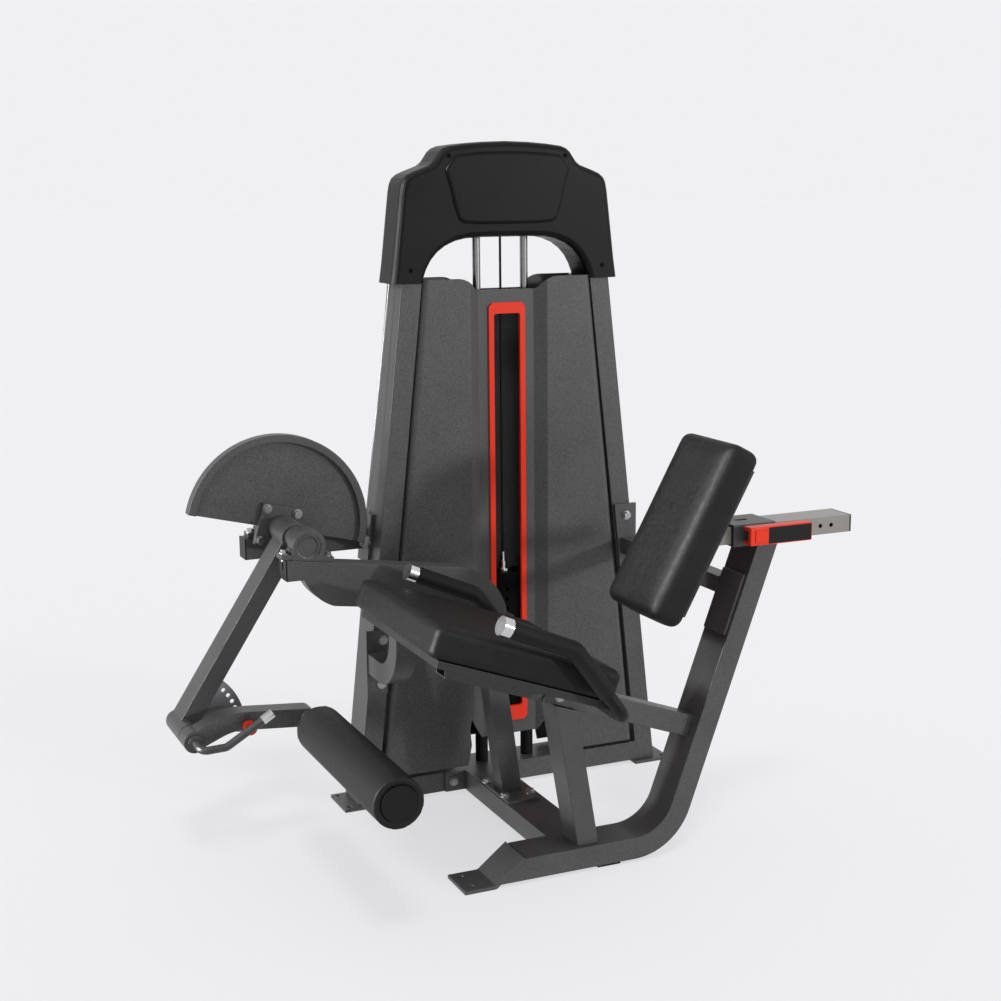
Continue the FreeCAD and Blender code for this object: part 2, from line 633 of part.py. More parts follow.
touch_angle = 180 - math.degrees(run_lean)
cable_edges = [
    Part.makeLine(V(*cam_touch), V(*pulley_touch)),
    Part.Arc(V(*pulley_touch), around(OUTER_PULLEY_X, PULLEY_Z, PULLEY_R, (touch_angle + 90) / 2),
             around(OUTER_PULLEY_X, PULLEY_Z, PULLEY_R, 90)).toShape(),
    Part.makeLine(around(OUTER_PULLEY_X, PULLEY_Z, PULLEY_R, 90), around(INNER_PULLEY_X, PULLEY_Z, PULLEY_R, 90)),
    Part.Arc(around(INNER_PULLEY_X, PULLEY_Z, PULLEY_R, 90), around(INNER_PULLEY_X, PULLEY_Z, PULLEY_R, 45),
             around(INNER_PULLEY_X, PULLEY_Z, PULLEY_R, 0)).toShape(),
]
cable_profile = Part.Wire(Part.Circle(V(*cam_touch), V(*pulley_touch) - V(*cam_touch), CABLE_R).toShape())
save(Part.Wire(cable_edges).makePipeShell([cable_profile], True, True), "cable_run")
save(rod_z(0, STACK_Y, CABLE_LOW - 15, PULLEY_Z, CABLE_R), "cable_to_stack")

# end of the cable, laid on the rim from the tangent point to its clamp
clamp_angle = -13.0
end_edges = Part.Arc(around(KNEE_X, KNEE_Z, CAM_CABLE_R, clamp_angle - 3.0),
                     around(KNEE_X, KNEE_Z, CAM_CABLE_R, clamp_angle + 1.0), V(*cam_touch)).toShape()
end_profile = Part.Wire(Part.Circle(V(*cam_touch), V(*pulley_touch) - V(*cam_touch), CABLE_R).toShape())
save(Part.Wire([end_edges]).makePipeShell([end_profile], True, True), "cable_end")

# ---------------------------------------------------------------- knee cam
RIM_Y0 = 29.0
RIM_Y1 = 61.0
WEB_Y0 = 41.0
WEB_Y1 = 49.0


def turned(shape, degrees):
    """Turned about the knee axis; positive lifts the right side."""
    copy = shape.copy()
    copy.rotate(V(KNEE_X, 0, KNEE_Z), V(0, 1, 0), -degrees)
    return copy


def half_disc(y0, y1, radius, flat_drop):
    disc = rod_y(KNEE_X, KNEE_Z, y0, y1, radius)
    return disc.cut(box(KNEE_X - 400, KNEE_X + 400, y0 - 1, y1 + 1, KNEE_Z - 400, KNEE_Z - flat_drop))


FLAT_DROP = 6.0
rim = half_disc(RIM_Y0, RIM_Y1, CAM_R, FLAT_DROP).cut(rod_y(KNEE_X, KNEE_Z, RIM_Y0 - 1, RIM_Y1 + 1, CAM_R - CAM_RIM))
web = half_disc(WEB_Y0, WEB_Y1, CAM_R - 1, FLAT_DROP)
boss = box(KNEE_X - 50, KNEE_X + 50, WEB_Y0, WEB_Y1, KNEE_Z - 50, KNEE_Z + 50)
cam = rim.fuse(web).fuse(boss).cut(rod_y(KNEE_X, KNEE_Z, 0, 100, SHAFT_R + FIT))
HUB_BOLT = 38.0
HUB_SPOTS = [(KNEE_X + a, 0, KNEE_Z + b) for a in (-HUB_BOLT, HUB_BOLT) for b in (-HUB_BOLT, HUB_BOLT)]
cam = drilled(cam, HUB_SPOTS, (0, 1, 0), BOLT_R + HOLE_GAP, 90)
cam = turned(cam.removeSplitter(), -CAM_TILT)

hub = box(KNEE_X - 50, KNEE_X + 50, RIM_Y0, WEB_Y0, KNEE_Z - 50, KNEE_Z + 50)
hub = hub.cut(rod_y(KNEE_X, KNEE_Z, 0, 100, SHAFT_R + FIT))
hub = turned(drilled(hub, HUB_SPOTS, (0, 1, 0), BOLT_R + HOLE_GAP, 90), -CAM_TILT)
save(hub, "cam_hub_plate")
hub_bolts = [turned(bolt((x, RIM_Y0, z), (0, -1, 0), 18), -CAM_TILT) for x, _, z in HUB_SPOTS]

# clamp block with two screws that hold the cable end on the rim
CLAMP_HEIGHT = 12.0
CLAMP_HALF = 14.0
clamp_block = box(KNEE_X + CAM_R + 0.05, KNEE_X + CAM_R + CLAMP_HEIGHT, STACK_Y - 15, STACK_Y + 15,
                  KNEE_Z - CLAMP_HALF, KNEE_Z + CLAMP_HALF)
clamp_block = clamp_block.cut(box(KNEE_X + CAM_R - 1, KNEE_X + CAM_CABLE_R + CABLE_R + 0.3,
                                  STACK_Y - CABLE_R - 0.3, STACK_Y + CABLE_R + 0.3,
                                  KNEE_Z - CLAMP_HALF - 1, KNEE_Z + CLAMP_HALF + 1))
clamp_block.rotate(V(KNEE_X, 0, KNEE_Z), V(0, 1, 0), 15.0)
clamp_way = V(math.cos(math.radians(-15.0)), 0, math.sin(math.radians(-15.0)))
screw_list = []
for y in (STACK_Y - 10.0, STACK_Y + 10.0):
    seat = V(KNEE_X, y, KNEE_Z) + clamp_way * (CAM_R + 12)
    hole = Part.makeCylinder(3.0 + HOLE_GAP, 60, V(KNEE_X, y, KNEE_Z) + clamp_way * (CAM_R - 16), clamp_way)
    clamp_block = clamp_block.cut(hole)
    cam = cam.cut(hole)
    screw_list.append(Part.makeCylinder(3.0, 26, seat - clamp_way * 25.9, clamp_way)
                      .fuse(Part.makeCylinder(4.6, 4, seat, clamp_way)).removeSplitter())
save(cam, "cam_disc")
save(Part.makeCompound(hub_bolts + [clamp_block] + screw_list), "cam_fasteners")

# ---------------------------------------------------------------- knee shaft, bearings and lever
NEAR_BLOCK_Y0 = -207.0
NEAR_BLOCK_Y1 = -163.0
FAR_BLOCK_Y0 = 80.0
FAR_BLOCK_Y1 = 122.0
SHAFT_Y0 = -203.0
SHAFT_Y1 = 126.0
shaft = ring_y(KNEE_X, KNEE_Z, SHAFT_Y0, SHAFT_Y1, SHAFT_R, SHAFT_R - 6)
for y in (SHAFT_Y0 + 3, SHAFT_Y1 - 9):
    shaft = shaft.fuse(rod_y(KNEE_X, KNEE_Z, y, y + 6, SHAFT_R - 5.5))
save(shaft.removeSplitter(), "knee_shaft")
BEARING_R = 31.0
BLOCK_R = 38.0
bearings = [ring_y(KNEE_X, KNEE_Z, y0 + 4, y1 - 4, BEARING_R, SHAFT_R + FIT)
            for y0, y1 in ((NEAR_BLOCK_Y0, NEAR_BLOCK_Y1), (FAR_BLOCK_Y0, FAR_BLOCK_Y1))]
save(Part.makeCompound(bearings), "knee_bearings")

SIDE_BEAM_SLOPE = -0.137
side_angle = math.atan(-SIDE_BEAM_SLOPE)


def side_beam_top(x):
    return 689.0 + SIDE_BEAM_SLOPE * (x + 601.0)


def pillow_block(y0, y1, base_z, tilt_degrees, bolt_half):
    """Housing about the knee axis on a flat base `base_z` below the axis."""
    block = rod_y(KNEE_X, KNEE_Z, y0, y1, BLOCK_R)
    block = block.fuse(box(KNEE_X - BLOCK_R, KNEE_X + BLOCK_R, y0, y1, KNEE_Z - base_z, KNEE_Z - base_z / 3))
    block = block.cut(box(KNEE_X - 80, KNEE_X + 80, y0 - 1, y1 + 1, KNEE_Z - 90, KNEE_Z - base_z))
    ear = bolt_half + 11
    ears = box(KNEE_X - ear, KNEE_X + ear, y0 + 2, y1 - 2, KNEE_Z - base_z, KNEE_Z - base_z + 12)
    block = block.fuse(ears)
    block = block.cut(rod_y(KNEE_X, KNEE_Z, y0 + 4, y1 - 4, BEARING_R + 0.02))
    block = block.cut(rod_y(KNEE_X, KNEE_Z, y0 - 1, y1 + 1, SHAFT_R + 1.5))
    middle = (y0 + y1) / 2
    spots = [(KNEE_X + s * bolt_half, middle, KNEE_Z - base_z + 12) for s in (-1, 1)]
    block = drilled(block, spots, (0, 0, 1), BOLT_R + HOLE_GAP, 40)
    bolts = [bolt(spot, (0, 0, 1), 18) for spot in spots]
    holes = [Part.makeCylinder(BOLT_R + HOLE_GAP, 60, V(*spot) - V(0, 0, 40), V(0, 0, 1)) for spot in spots]
    result = []
    for piece in [block.removeSplitter()] + bolts + holes:
        piece.rotate(V(KNEE_X, 0, KNEE_Z), V(0, 1, 0), tilt_degrees)
        result.append(piece)
    return result


near_drop = (KNEE_Z - side_beam_top(KNEE_X)) * math.cos(side_angle)
FAR_TUBE_TOP = 689.0
near_block, near_bolt_a, near_bolt_b, near_hole_a, near_hole_b = pillow_block(
    NEAR_BLOCK_Y0, NEAR_BLOCK_Y1, near_drop, math.degrees(side_angle), 50.5)
far_block, far_bolt_a, far_bolt_b, far_hole_a, far_hole_b = pillow_block(
    FAR_BLOCK_Y0, FAR_BLOCK_Y1, KNEE_Z - FAR_TUBE_TOP, 0.0, 50.5)
save(Part.makeCompound([near_block, far_block]), "pillow_blocks")

LEVER_Y0 = -98.0
LEVER_Y1 = -18.0
LEVER_THICK = 40.0
PIVOT_R = 25.0
lever = tube("xz", [(KNEE_X, KNEE_Z), (FOOT_PIVOT_X, FOOT_PIVOT_Z)], [], LEVER_THICK, LEVER_Y0, LEVER_Y1, 4.0)
lever = lever.cut(rod_y(KNEE_X, KNEE_Z, LEVER_Y0 - 1, LEVER_Y1 + 1, SHAFT_R + 6))
lever = lever.cut(rod_y(FOOT_PIVOT_X, FOOT_PIVOT_Z, LEVER_Y0 - 1, LEVER_Y1 + 1, PIVOT_R))
lever_sleeve = ring_y(KNEE_X, KNEE_Z, LEVER_Y0 - 6, LEVER_Y1 + 6, SHAFT_R + 6, SHAFT_R + FIT)
PIVOT_PIN_R = 12.0
foot_housing = ring_y(FOOT_PIVOT_X, FOOT_PIVOT_Z, -136, -12, PIVOT_R, PIVOT_PIN_R + FIT)
save(lever.fuse(lever_sleeve).fuse(foot_housing).removeSplitter(), "lever_arm")

# drilled sector plate on the lever, centred on the foot pivot
SECTOR_Y0 = -96.0
SECTOR_Y1 = -90.0
SECTOR_R = 140.0
POP_PIN_ANGLE = 9.8


def pivot_point(radius, degrees):
    return (FOOT_PIVOT_X + radius * math.cos(math.radians(degrees)),
            FOOT_PIVOT_Z + radius * math.sin(math.radians(degrees)))


sector_corners = [pivot_point(400, -10), pivot_point(400, 72), pivot_point(0.5, 72), pivot_point(0.5, -10)]
sector = ring_y(FOOT_PIVOT_X, FOOT_PIVOT_Z, SECTOR_Y0, SECTOR_Y1, SECTOR_R, PIVOT_R)
sector = sector.common(slab("xz", sector_corners, SECTOR_Y0 - 1, SECTOR_Y1 + 1))
POP_PIN_R = 5.0
for step in range(-2, 5):
    x, z = pivot_point(SECTOR_HOLE_RADIUS, POP_PIN_ANGLE + step * SECTOR_HOLE_STEP)
    sector = sector.cut(rod_y(x, z, SECTOR_Y0 - 1, SECTOR_Y1 + 1, POP_PIN_R + FIT))
lever_region = band("xz", [(KNEE_X, KNEE_Z), (FOOT_PIVOT_X, FOOT_PIVOT_Z)], [], LEVER_THICK, SECTOR_Y0 - 1, SECTOR_Y1 + 1)
lever_left = slab("xz", [(KNEE_X, KNEE_Z), (FOOT_PIVOT_X, FOOT_PIVOT_Z), (FOOT_PIVOT_X - 300, FOOT_PIVOT_Z),
                         (FOOT_PIVOT_X - 300, KNEE_Z)], SECTOR_Y0 - 1, SECTOR_Y1 + 1)
save(sector.cut(lever_region).cut(lever_left).removeSplitter(), "sector_plate")

# ---------------------------------------------------------------- roller arm and roller
ARM_Y0 = -190.0
ARM_Y1 = -140.0
ARM_HEIGHT = 42.0
arm_path = [(FOOT_PIVOT_X, FOOT_PIVOT_Z), (-775, 333), (ROLLER_X, ROLLER_Z)]
arm = band("xz", arm_path, [130.0], ARM_HEIGHT, ARM_Y0, ARM_Y1)
arm = arm.fuse(rod_y(FOOT_PIVOT_X, FOOT_PIVOT_Z, ARM_Y0, ARM_Y1, PIVOT_R))
arm = arm.fuse(rod_y(ROLLER_X, ROLLER_Z, ARM_Y0, ARM_Y1, ARM_HEIGHT / 2))
core = band("xz", arm_path, [130.0], ARM_HEIGHT - 2 * WALL, ARM_Y0 + WALL, ARM_Y1 - WALL)
core = core.cut(rod_y(FOOT_PIVOT_X, FOOT_PIVOT_Z, ARM_Y0 - 1, ARM_Y1 + 1, PIVOT_R))
core = core.cut(rod_y(ROLLER_X, ROLLER_Z, ARM_Y0 - 1, ARM_Y1 + 1, ARM_HEIGHT / 2))
ROLLER_AXLE_R = 12.0
POP_X, POP_Z = pivot_point(SECTOR_HOLE_RADIUS, POP_PIN_ANGLE)
arm = arm.cut(core)
arm = arm.cut(rod_y(FOOT_PIVOT_X, FOOT_PIVOT_Z, ARM_Y0 - 1, ARM_Y1 + 1, PIVOT_PIN_R + 0.02))
POP_BARREL_R = 9.0
arm = arm.cut(rod_y(POP_X, POP_Z, ARM_Y0 - 1, ARM_Y1 + 1, POP_BARREL_R))
pivot_pin = rod_y(FOOT_PIVOT_X, FOOT_PIVOT_Z, ARM_Y0, -6, PIVOT_PIN_R)
pivot_pin = pivot_pin.fuse(rod_y(FOOT_PIVOT_X, FOOT_PIVOT_Z, -12 + 0.2, -6, 17))
pivot_pin = pivot_pin.fuse(rod_y(FOOT_PIVOT_X, FOOT_PIVOT_Z, ARM_Y0 - 8, ARM_Y0, 17))

ROD_HANDLE_R = 9.0
ROD_HANDLE_Y = -234.0
rod_path = [(FOOT_PIVOT_X, ARM_Y0 - 8, FOOT_PIVOT_Z), (FOOT_PIVOT_X + 4, ROD_HANDLE_Y, 289),
            (-800, ROD_HANDLE_Y, 291), (-716, ROD_HANDLE_Y, 341)]
save(pivot_pin.fuse(pipe(rod_path, 18.0, ROD_HANDLE_R)).removeSplitter(), "adjusting_handle")
tip_end = (-692, ROD_HANDLE_Y, 341 + 24 * 50 / 84)
save(rod((-715.9, ROD_HANDLE_Y, 341 + 0.1 * 50 / 84), tip_end, ROD_HANDLE_R + 1.5), "adjusting_handle_tip")

pop_barrel = rod_y(POP_X, POP_Z, ARM_Y0 - 4, ARM_Y1 + 4, POP_BARREL_R).cut(
    rod_y(POP_X, POP_Z, ARM_Y0 - 10, ARM_Y1 + 10, POP_PIN_R + FIT))
save(rod_y(POP_X, POP_Z, ARM_Y0 - 12, SECTOR_Y1 + 2, POP_PIN_R), "pop_pin")
pop_knob = rod_y(POP_X, POP_Z, ARM_Y0 - 24, ARM_Y0 - 4.5, 15)
pop_knob = pop_knob.cut(rod_y(POP_X, POP_Z, ARM_Y0 - 12.1, ARM_Y0, POP_PIN_R))
save(pop_knob, "pop_pin_knob")

axle = rod_y(ROLLER_X, ROLLER_Z, ROLLER_Y0 + 6, ARM_Y1 - 1, ROLLER_AXLE_R)
axle = axle.fuse(rod_y(ROLLER_X, ROLLER_Z, ARM_Y0 - 10, ARM_Y0 - 0.1, 18))
save(arm.fuse(pop_barrel).fuse(axle).removeSplitter(), "roller_arm")
CORE_R = 22.0
core_tube = ring_y(ROLLER_X, ROLLER_Z, ROLLER_Y0 + 8, ROLLER_Y1 - 2, CORE_R, ROLLER_AXLE_R + FIT)
foam = ring_y(ROLLER_X, ROLLER_Z, ROLLER_Y0, ROLLER_Y1, ROLLER_R, CORE_R + 0.1)
pocket = rod_y(ROLLER_X, ROLLER_Z, ROLLER_Y0 - 1, ROLLER_Y0 + 6, 38.5)
save(foam.cut(pocket).removeSplitter(), "roller_pad")
cap = rod_y(ROLLER_X, ROLLER_Z, ROLLER_Y0 - 2, ROLLER_Y0 + 5.5, 38)
save(core_tube.fuse(cap).removeSplitter(), "roller_core")

# ---------------------------------------------------------------- arms that carry the knee axis
far_tube_y0 = 76.0
far_tube_y1 = 126.0
far_tube_outer = [(-655, FAR_TUBE_TOP - 50), (-upright_outer(FAR_TUBE_TOP - 50) - PLATE, FAR_TUBE_TOP - 50),
                  (-upright_outer(FAR_TUBE_TOP) - PLATE, FAR_TUBE_TOP), (-655, FAR_TUBE_TOP)]
far_tube = slab("xz", far_tube_outer, far_tube_y0, far_tube_y1)
far_tube = far_tube.cut(box(-660, -300, far_tube_y0 + WALL, far_tube_y1 - WALL, FAR_TUBE_TOP - 50 + WALL, FAR_TUBE_TOP - WALL))
for hole in (far_hole_a, far_hole_b):
    far_tube = far_tube.cut(hole)
plate_z0 = FAR_TUBE_TOP - 85
plate_z1 = FAR_TUBE_TOP + 35
far_plate = slab("xz", [(-upright_outer(plate_z0), plate_z0), (-upright_outer(plate_z1), plate_z1),
                        (-upright_outer(plate_z1) - PLATE, plate_z1), (-upright_outer(plate_z0) - PLATE, plate_z0)],
                 58.0, 130.0)
save(far_tube.fuse(far_plate).removeSplitter(), "far_support_tube")

# side beam: deep tube that bends down onto the far post, with a cut-back nose
BEAM_Y0 = -210.0
BEAM_Y1 = -160.0
POST_SLOPE = -0.135


def far_post_x(z):
    return -95.5 + POST_SLOPE * (z - 85.0)


JOINT_Z = 500.0
beam_mid_drop = 50.0 / math.cos(side_angle)
joint_x = far_post_x(JOINT_Z)
# the beam's centre line meets the post's centre line where both lines cross:
# x = joint_x + POST_SLOPE (z - JOINT_Z) and z = beam line at x
beam_line_0 = side_beam_top(0.0) - beam_mid_drop
corner_x = (joint_x + POST_SLOPE * (beam_line_0 - JOINT_Z)) / (1.0 - POST_SLOPE * SIDE_BEAM_SLOPE)
corner_z = beam_line_0 + SIDE_BEAM_SLOPE * corner_x
nose_x = -640.0
BEAM_BEND_R = 98.0
beam_path = [(nose_x - 10, side_beam_top(nose_x - 10) - beam_mid_drop), (corner_x, corner_z), (joint_x, JOINT_Z)]
side_beam = band("xz", beam_path, [BEAM_BEND_R], TUBE_LONG, BEAM_Y0, BEAM_Y1)
beam_core = band("xz", lengthened(beam_path, 5.0), [BEAM_BEND_R], TUBE_LONG - 2 * WALL, BEAM_Y0 + WALL, BEAM_Y1 - WALL)


def nose_notch(inset, y0, y1):
    """Everything below the cut-back nose, as a block."""
    low = 480.0
    points = [V(-601 + inset, y0, 646 + inset), V(-568 + inset, y0, 600 + inset), V(-474 + inset, y0, 571 + inset)]
    ends = [V(-474 + inset, y0, low), V(-720, y0, low), V(-720, y0, 646 + inset)]
    edges = [Part.Arc(*points).toShape(), Part.makeLine(points[2], ends[0]), Part.makeLine(ends[0], ends[1]),
             Part.makeLine(ends[1], ends[2]), Part.makeLine(ends[2], points[0])]
    return extruded(Part.Face(Part.Wire(edges)), V(0, y1 - y0, 0))


side_beam = side_beam.cut(nose_notch(0.0, BEAM_Y0 - 1, BEAM_Y1 + 1))
side_beam = side_beam.cut(box(-720, nose_x, BEAM_Y0 - 1, BEAM_Y1 + 1, 480, 800))
beam_core = beam_core.cut(nose_notch(WALL, BEAM_Y0 - 1, BEAM_Y1 + 1))
side_beam = side_beam.cut(beam_core)
for hole in (near_hole_a, near_hole_b):
    side_beam = side_beam.cut(hole)
save(side_beam, "side_beam")
nose_cap = slab("xz", [(nose_x - 3, 647), (nose_x, 646), (nose_x, side_beam_top(nose_x)), (nose_x - 3, side_beam_top(nose_x) - 1)],
                BEAM_Y0, BEAM_Y1).cut(near_hole_a)
far_cap = box(-658, -655, far_tube_y0, far_tube_y1, FAR_TUBE_TOP - 50, FAR_TUBE_TOP)

# far post with its bolted joint plates and floor flange
joint_slope = math.atan(-POST_SLOPE)
post_top_mid = (far_post_x(JOINT_Z), JOINT_Z)
along_post = (math.sin(joint_slope), -math.cos(joint_slope))
across_post = (math.cos(joint_slope), math.sin(joint_slope))


def joint_plate(start, thick, half):
    corners = []
    for along, side in ((start, -half), (start, half), (start + thick, half), (start + thick, -half)):
        corners.append((post_top_mid[0] + along * along_post[0] + side * across_post[0],
                        post_top_mid[1] + along * along_post[1] + side * across_post[1]))
    return slab("xz", corners, BEAM_Y0 - 10, BEAM_Y1 + 10)


joint_bolts = []
upper_joint = joint_plate(0.0, PLATE, 62)
lower_joint = joint_plate(PLATE, PLATE, 62)
for side in (-54, 54):
    for y in (BEAM_Y0 - 1, BEAM_Y1 + 1):
        x = post_top_mid[0] + 2 * PLATE * along_post[0] + side * across_post[0]
        z = post_top_mid[1] + 2 * PLATE * along_post[1] + side * across_post[1]
        joint_bolts.append(((x, y + (4 if y > -185 else -4), z), (along_post[0], 0, along_post[1])))
FLANGE_TOP = 58.0 + PLATE
post_end = (far_post_x(FLANGE_TOP), FLANGE_TOP)
post_start = (post_top_mid[0] + 2 * PLATE * along_post[0], post_top_mid[1] + 2 * PLATE * along_post[1])
far_post = tube("xz", [post_start, (post_end[0] + 30 * along_post[0], post_end[1] + 30 * along_post[1])], [],
                TUBE_SHORT, BEAM_Y0, BEAM_Y1)
far_post = far_post.cut(box(-300, 100, -300, 0, 0, FLANGE_TOP))
flange = box(-132, -50, -275, -78, 58, FLANGE_TOP)
flange_spots = [(-58, -236, FLANGE_TOP), (-58, -128, FLANGE_TOP), (-125, -236, FLANGE_TOP), (-125, -128, FLANGE_TOP)]
flange = drilled(flange, flange_spots, (0, 0, 1), BOLT_R + HOLE_GAP, 30)
small_bolts = [bolt(spot, (0, 0, 1), 12) for spot in flange_spots]

# connecting tube on the floor, from the cross tube's flange to the main frame
link = tube("xy", [(-83, -PLATE), (-83, FRAME_Y1)], [], TUBE_LONG, 8, 58)
link = drilled(link, flange_spots, (0, 0, 1), BOLT_R + HOLE_GAP, 30)
save(link, "connecting_tube")
link_flange = box(-186, 20, -PLATE, 0, 8, 58)
link_flange = drilled(link_flange, CROSS_BOLTS, (0, 1, 0), BOLT_R + HOLE_GAP, 30)

# ---------------------------------------------------------------- main frame under seat and back
BACK_LEAN = 0.370           # X per Z of the rising part
FRAME_TOP = 708.0
rise_angle = math.atan(BACK_LEAN)
bend_mid_r = 125.0
centre_x = 44.0
centre_z = 158.0
# the rising centre line is tangent to the bend
out_x = centre_x + bend_mid_r * math.cos(rise_angle)
out_z = centre_z - bend_mid_r * math.sin(rise_angle)
floor_mid_z = centre_z - bend_mid_r
corner = out_x - (out_z - floor_mid_z) * BACK_LEAN
top_point = (out_x + (FRAME_TOP + 60 - out_z) * BACK_LEAN, FRAME_TOP + 60)
frame_path = [(-320.0, floor_mid_z), (corner, floor_mid_z), top_point]
main_frame = tube("xz", frame_path, [bend_mid_r], TUBE_SHORT, FRAME_Y0, FRAME_Y1)
mitre = slab("xz", [(-300.24, 0), (-213.2, 68), (-400, 68), (-400, 0)], FRAME_Y0 - 1, FRAME_Y1 + 1)
main_frame = main_frame.cut(mitre).cut(box(0, 600, FRAME_Y0 - 1, FRAME_Y1 + 1, FRAME_TOP, FRAME_TOP + 200))
save(main_frame, "main_frame")


def frame_inner(z):
    """Left-hand face of the rising part."""
    return out_x + (z - out_z) * BACK_LEAN - TUBE_SHORT / 2 / math.cos(rise_angle)


slope = (64.0 / 81.216, 50.0 / 81.216)
nose_foot = band("xz", [(-375, 4), (-301.7, 4), (-292.46 + 70 * slope[0] + 6, 11.15 + 70 * slope[1] + 4.7)], [9.0], PLATE,
                 FRAME_Y0 - 1, FRAME_Y1 + 1)
nose_foot = drilled(nose_foot, [(-352, -560, 0), (-352, -503, 0)], (0, 0, 1), ANCHOR_R, 20)
save(Part.makeCompound([foot, mirrored(foot), nose_foot]), "floor_plates")
save(Part.makeCompound(bumpers + [box(-46, 11, -572, -491, 0, 8)]), "rubber_bumpers")

# seat rail: sloping tube from under the seat to the rising part of the frame
theta = math.radians(SEAT_ANGLE)


def seat_point(u, v):
    """Along the seat towards the back, and up from the pad's underside."""
    return (SEAT_X + u * math.cos(theta) + v * math.sin(theta), SEAT_Z - u * math.sin(theta) + v * math.cos(theta))


BOARD_THICK = 16.0
RAIL_V0 = -BOARD_THICK - TUBE_SHORT
rail_mid = -BOARD_THICK - TUBE_SHORT / 2
rail = tube("xz", [seat_point(96, rail_mid), seat_point(820, rail_mid)], [], TUBE_SHORT, -556, -506)
rail_front = slab("xz", [seat_point(60, 10), seat_point(98, 10), seat_point(130, -90), seat_point(60, -90)], -560, -500)
behind = [(frame_inner(0), 0), (frame_inner(700), 700), (900, 700), (900, 0)]
rail = rail.cut(rail_front).cut(slab("xz", behind, -560, -500))

# near post
NEAR_POST_Y0 = -568.5
NEAR_POST_Y1 = -493.5


def near_post_x(z):
    return -69.2 - 0.167 * (z - 58.0)


rail_under = [seat_point(0, RAIL_V0), seat_point(800, RAIL_V0), (600, 900), (-900, 900)]
near_post = tube("xz", [(near_post_x(30), 30), (near_post_x(440), 440)], [], TUBE_SHORT, NEAR_POST_Y0, NEAR_POST_Y1)
near_post = near_post.cut(box(-300, 200, -600, -400, 0, 58)).cut(slab("xz", rail_under, -600, -400))
save(Part.makeCompound([near_post, far_post]), "seat_posts")
gusset_bolt = (-136.0, -556.0 - 6.0, 411.0)
gusset = slab("xz", [seat_point(365, RAIL_V0 + 42), seat_point(425, RAIL_V0 + 42), seat_point(425, RAIL_V0 + 2),
                     seat_point(365, RAIL_V0 + 2)], -562, -556)
gusset = drilled(gusset, [gusset_bolt], (0, 1, 0), BOLT_R + HOLE_GAP, 30)
rail_drilled = drilled(rail, [gusset_bolt], (0, 1, 0), BOLT_R + HOLE_GAP, 20)
save(rail_drilled, "seat_rail")

# brace from the right upright to the main frame, and the plates it stands on
RIGHT_BRACE_X0 = 312.0
RIGHT_BRACE_X1 = 352.0
RIGHT_BRACE_Z0 = 578.0
RIGHT_BRACE_Z1 = 618.0
right_brace = box(RIGHT_BRACE_X0, RIGHT_BRACE_X1, FRAME_Y1, -PLATE, RIGHT_BRACE_Z0, RIGHT_BRACE_Z1)
right_brace = right_brace.cut(box(RIGHT_BRACE_X0 + WALL, RIGHT_BRACE_X1 - WALL, FRAME_Y1 - 1, -PLATE + 1,
                                  RIGHT_BRACE_Z0 + WALL, RIGHT_BRACE_Z1 - WALL))
right_plate = slab("xz", [(310, 522), (354, 522), (354, 706), (292, 706)], -PLATE, 0)
right_plate = drilled(right_plate, RIGHT_PLATE_BOLTS, (0, 1, 0), BOLT_R + HOLE_GAP, 30)
left_plate = slab("xz", [(-388, 289), (-336, 289), (-331.5, 450), (-388, 450)], -PLATE, 0)
left_plate = drilled(left_plate, LEFT_PLATE_BOLTS, (0, 1, 0), BOLT_R + HOLE_GAP, 30)
doubler = slab("xz", [(frame_inner(505), 505), (frame_inner(640), 640), (frame_inner(640) - 8, 640),
                      (frame_inner(505) - 8, 505)], FRAME_Y0 + 6, FRAME_Y1 - 6)
post_plates = [upper_joint, lower_joint, flange]
save(Part.makeCompound([right_plate, left_plate, link_flange, gusset, doubler] + post_plates + clips), "mounting_plates")

# brace from the left upright, curving up to the side beam
LEFT_BRACE_X0 = -385.0
LEFT_BRACE_X1 = -335.0
beam_under = [(LEFT_BRACE_X0 - 5, side_beam_top(LEFT_BRACE_X0 - 5) - 2 * beam_mid_drop),
              (LEFT_BRACE_X1 + 5, side_beam_top(LEFT_BRACE_X1 + 5) - 2 * beam_mid_drop),
              (LEFT_BRACE_X1 + 5, 760), (LEFT_BRACE_X0 - 5, 760)]
left_brace = tube("yz", [(-PLATE, 370), (-185, 370), (-185, 620)], [95.0], TUBE_SHORT, LEFT_BRACE_X0, LEFT_BRACE_X1)
left_brace = left_brace.cut(slab("xz", beam_under, -300, 0))
save(Part.makeCompound([left_brace, right_brace]), "upright_braces")

all_bolts = [bolt(p, (0, -1, 0), TOWER_BOLT_SHANK) for p in LEFT_PLATE_BOLTS + RIGHT_PLATE_BOLTS + CROSS_BOLTS]
all_bolts += small_bolts
all_bolts += [near_bolt_a, near_bolt_b, far_bolt_a, far_bolt_b]
all_bolts.append(bolt(gusset_bolt, (0, -1, 0), 9))

# ---------------------------------------------------------------- seat
PAD_THICK = 69.0


def seat_block(u0, u1, v0, v1, y0, y1):
    return slab("xz", [seat_point(u0, v0), seat_point(u1, v0), seat_point(u1, v1), seat_point(u0, v1)], y0, y1)


seat_pad = seat_block(-26, 415, 0.3, PAD_THICK, SEAT_Y0, SEAT_Y1)
seat_pad = seat_pad.makeFillet(16.0, seat_pad.Edges)
save(seat_pad, "seat_pad")
save(seat_block(0, 404, -BOARD_THICK, 0, SEAT_Y0 + 10, SEAT_Y1 - 10), "seat_board")

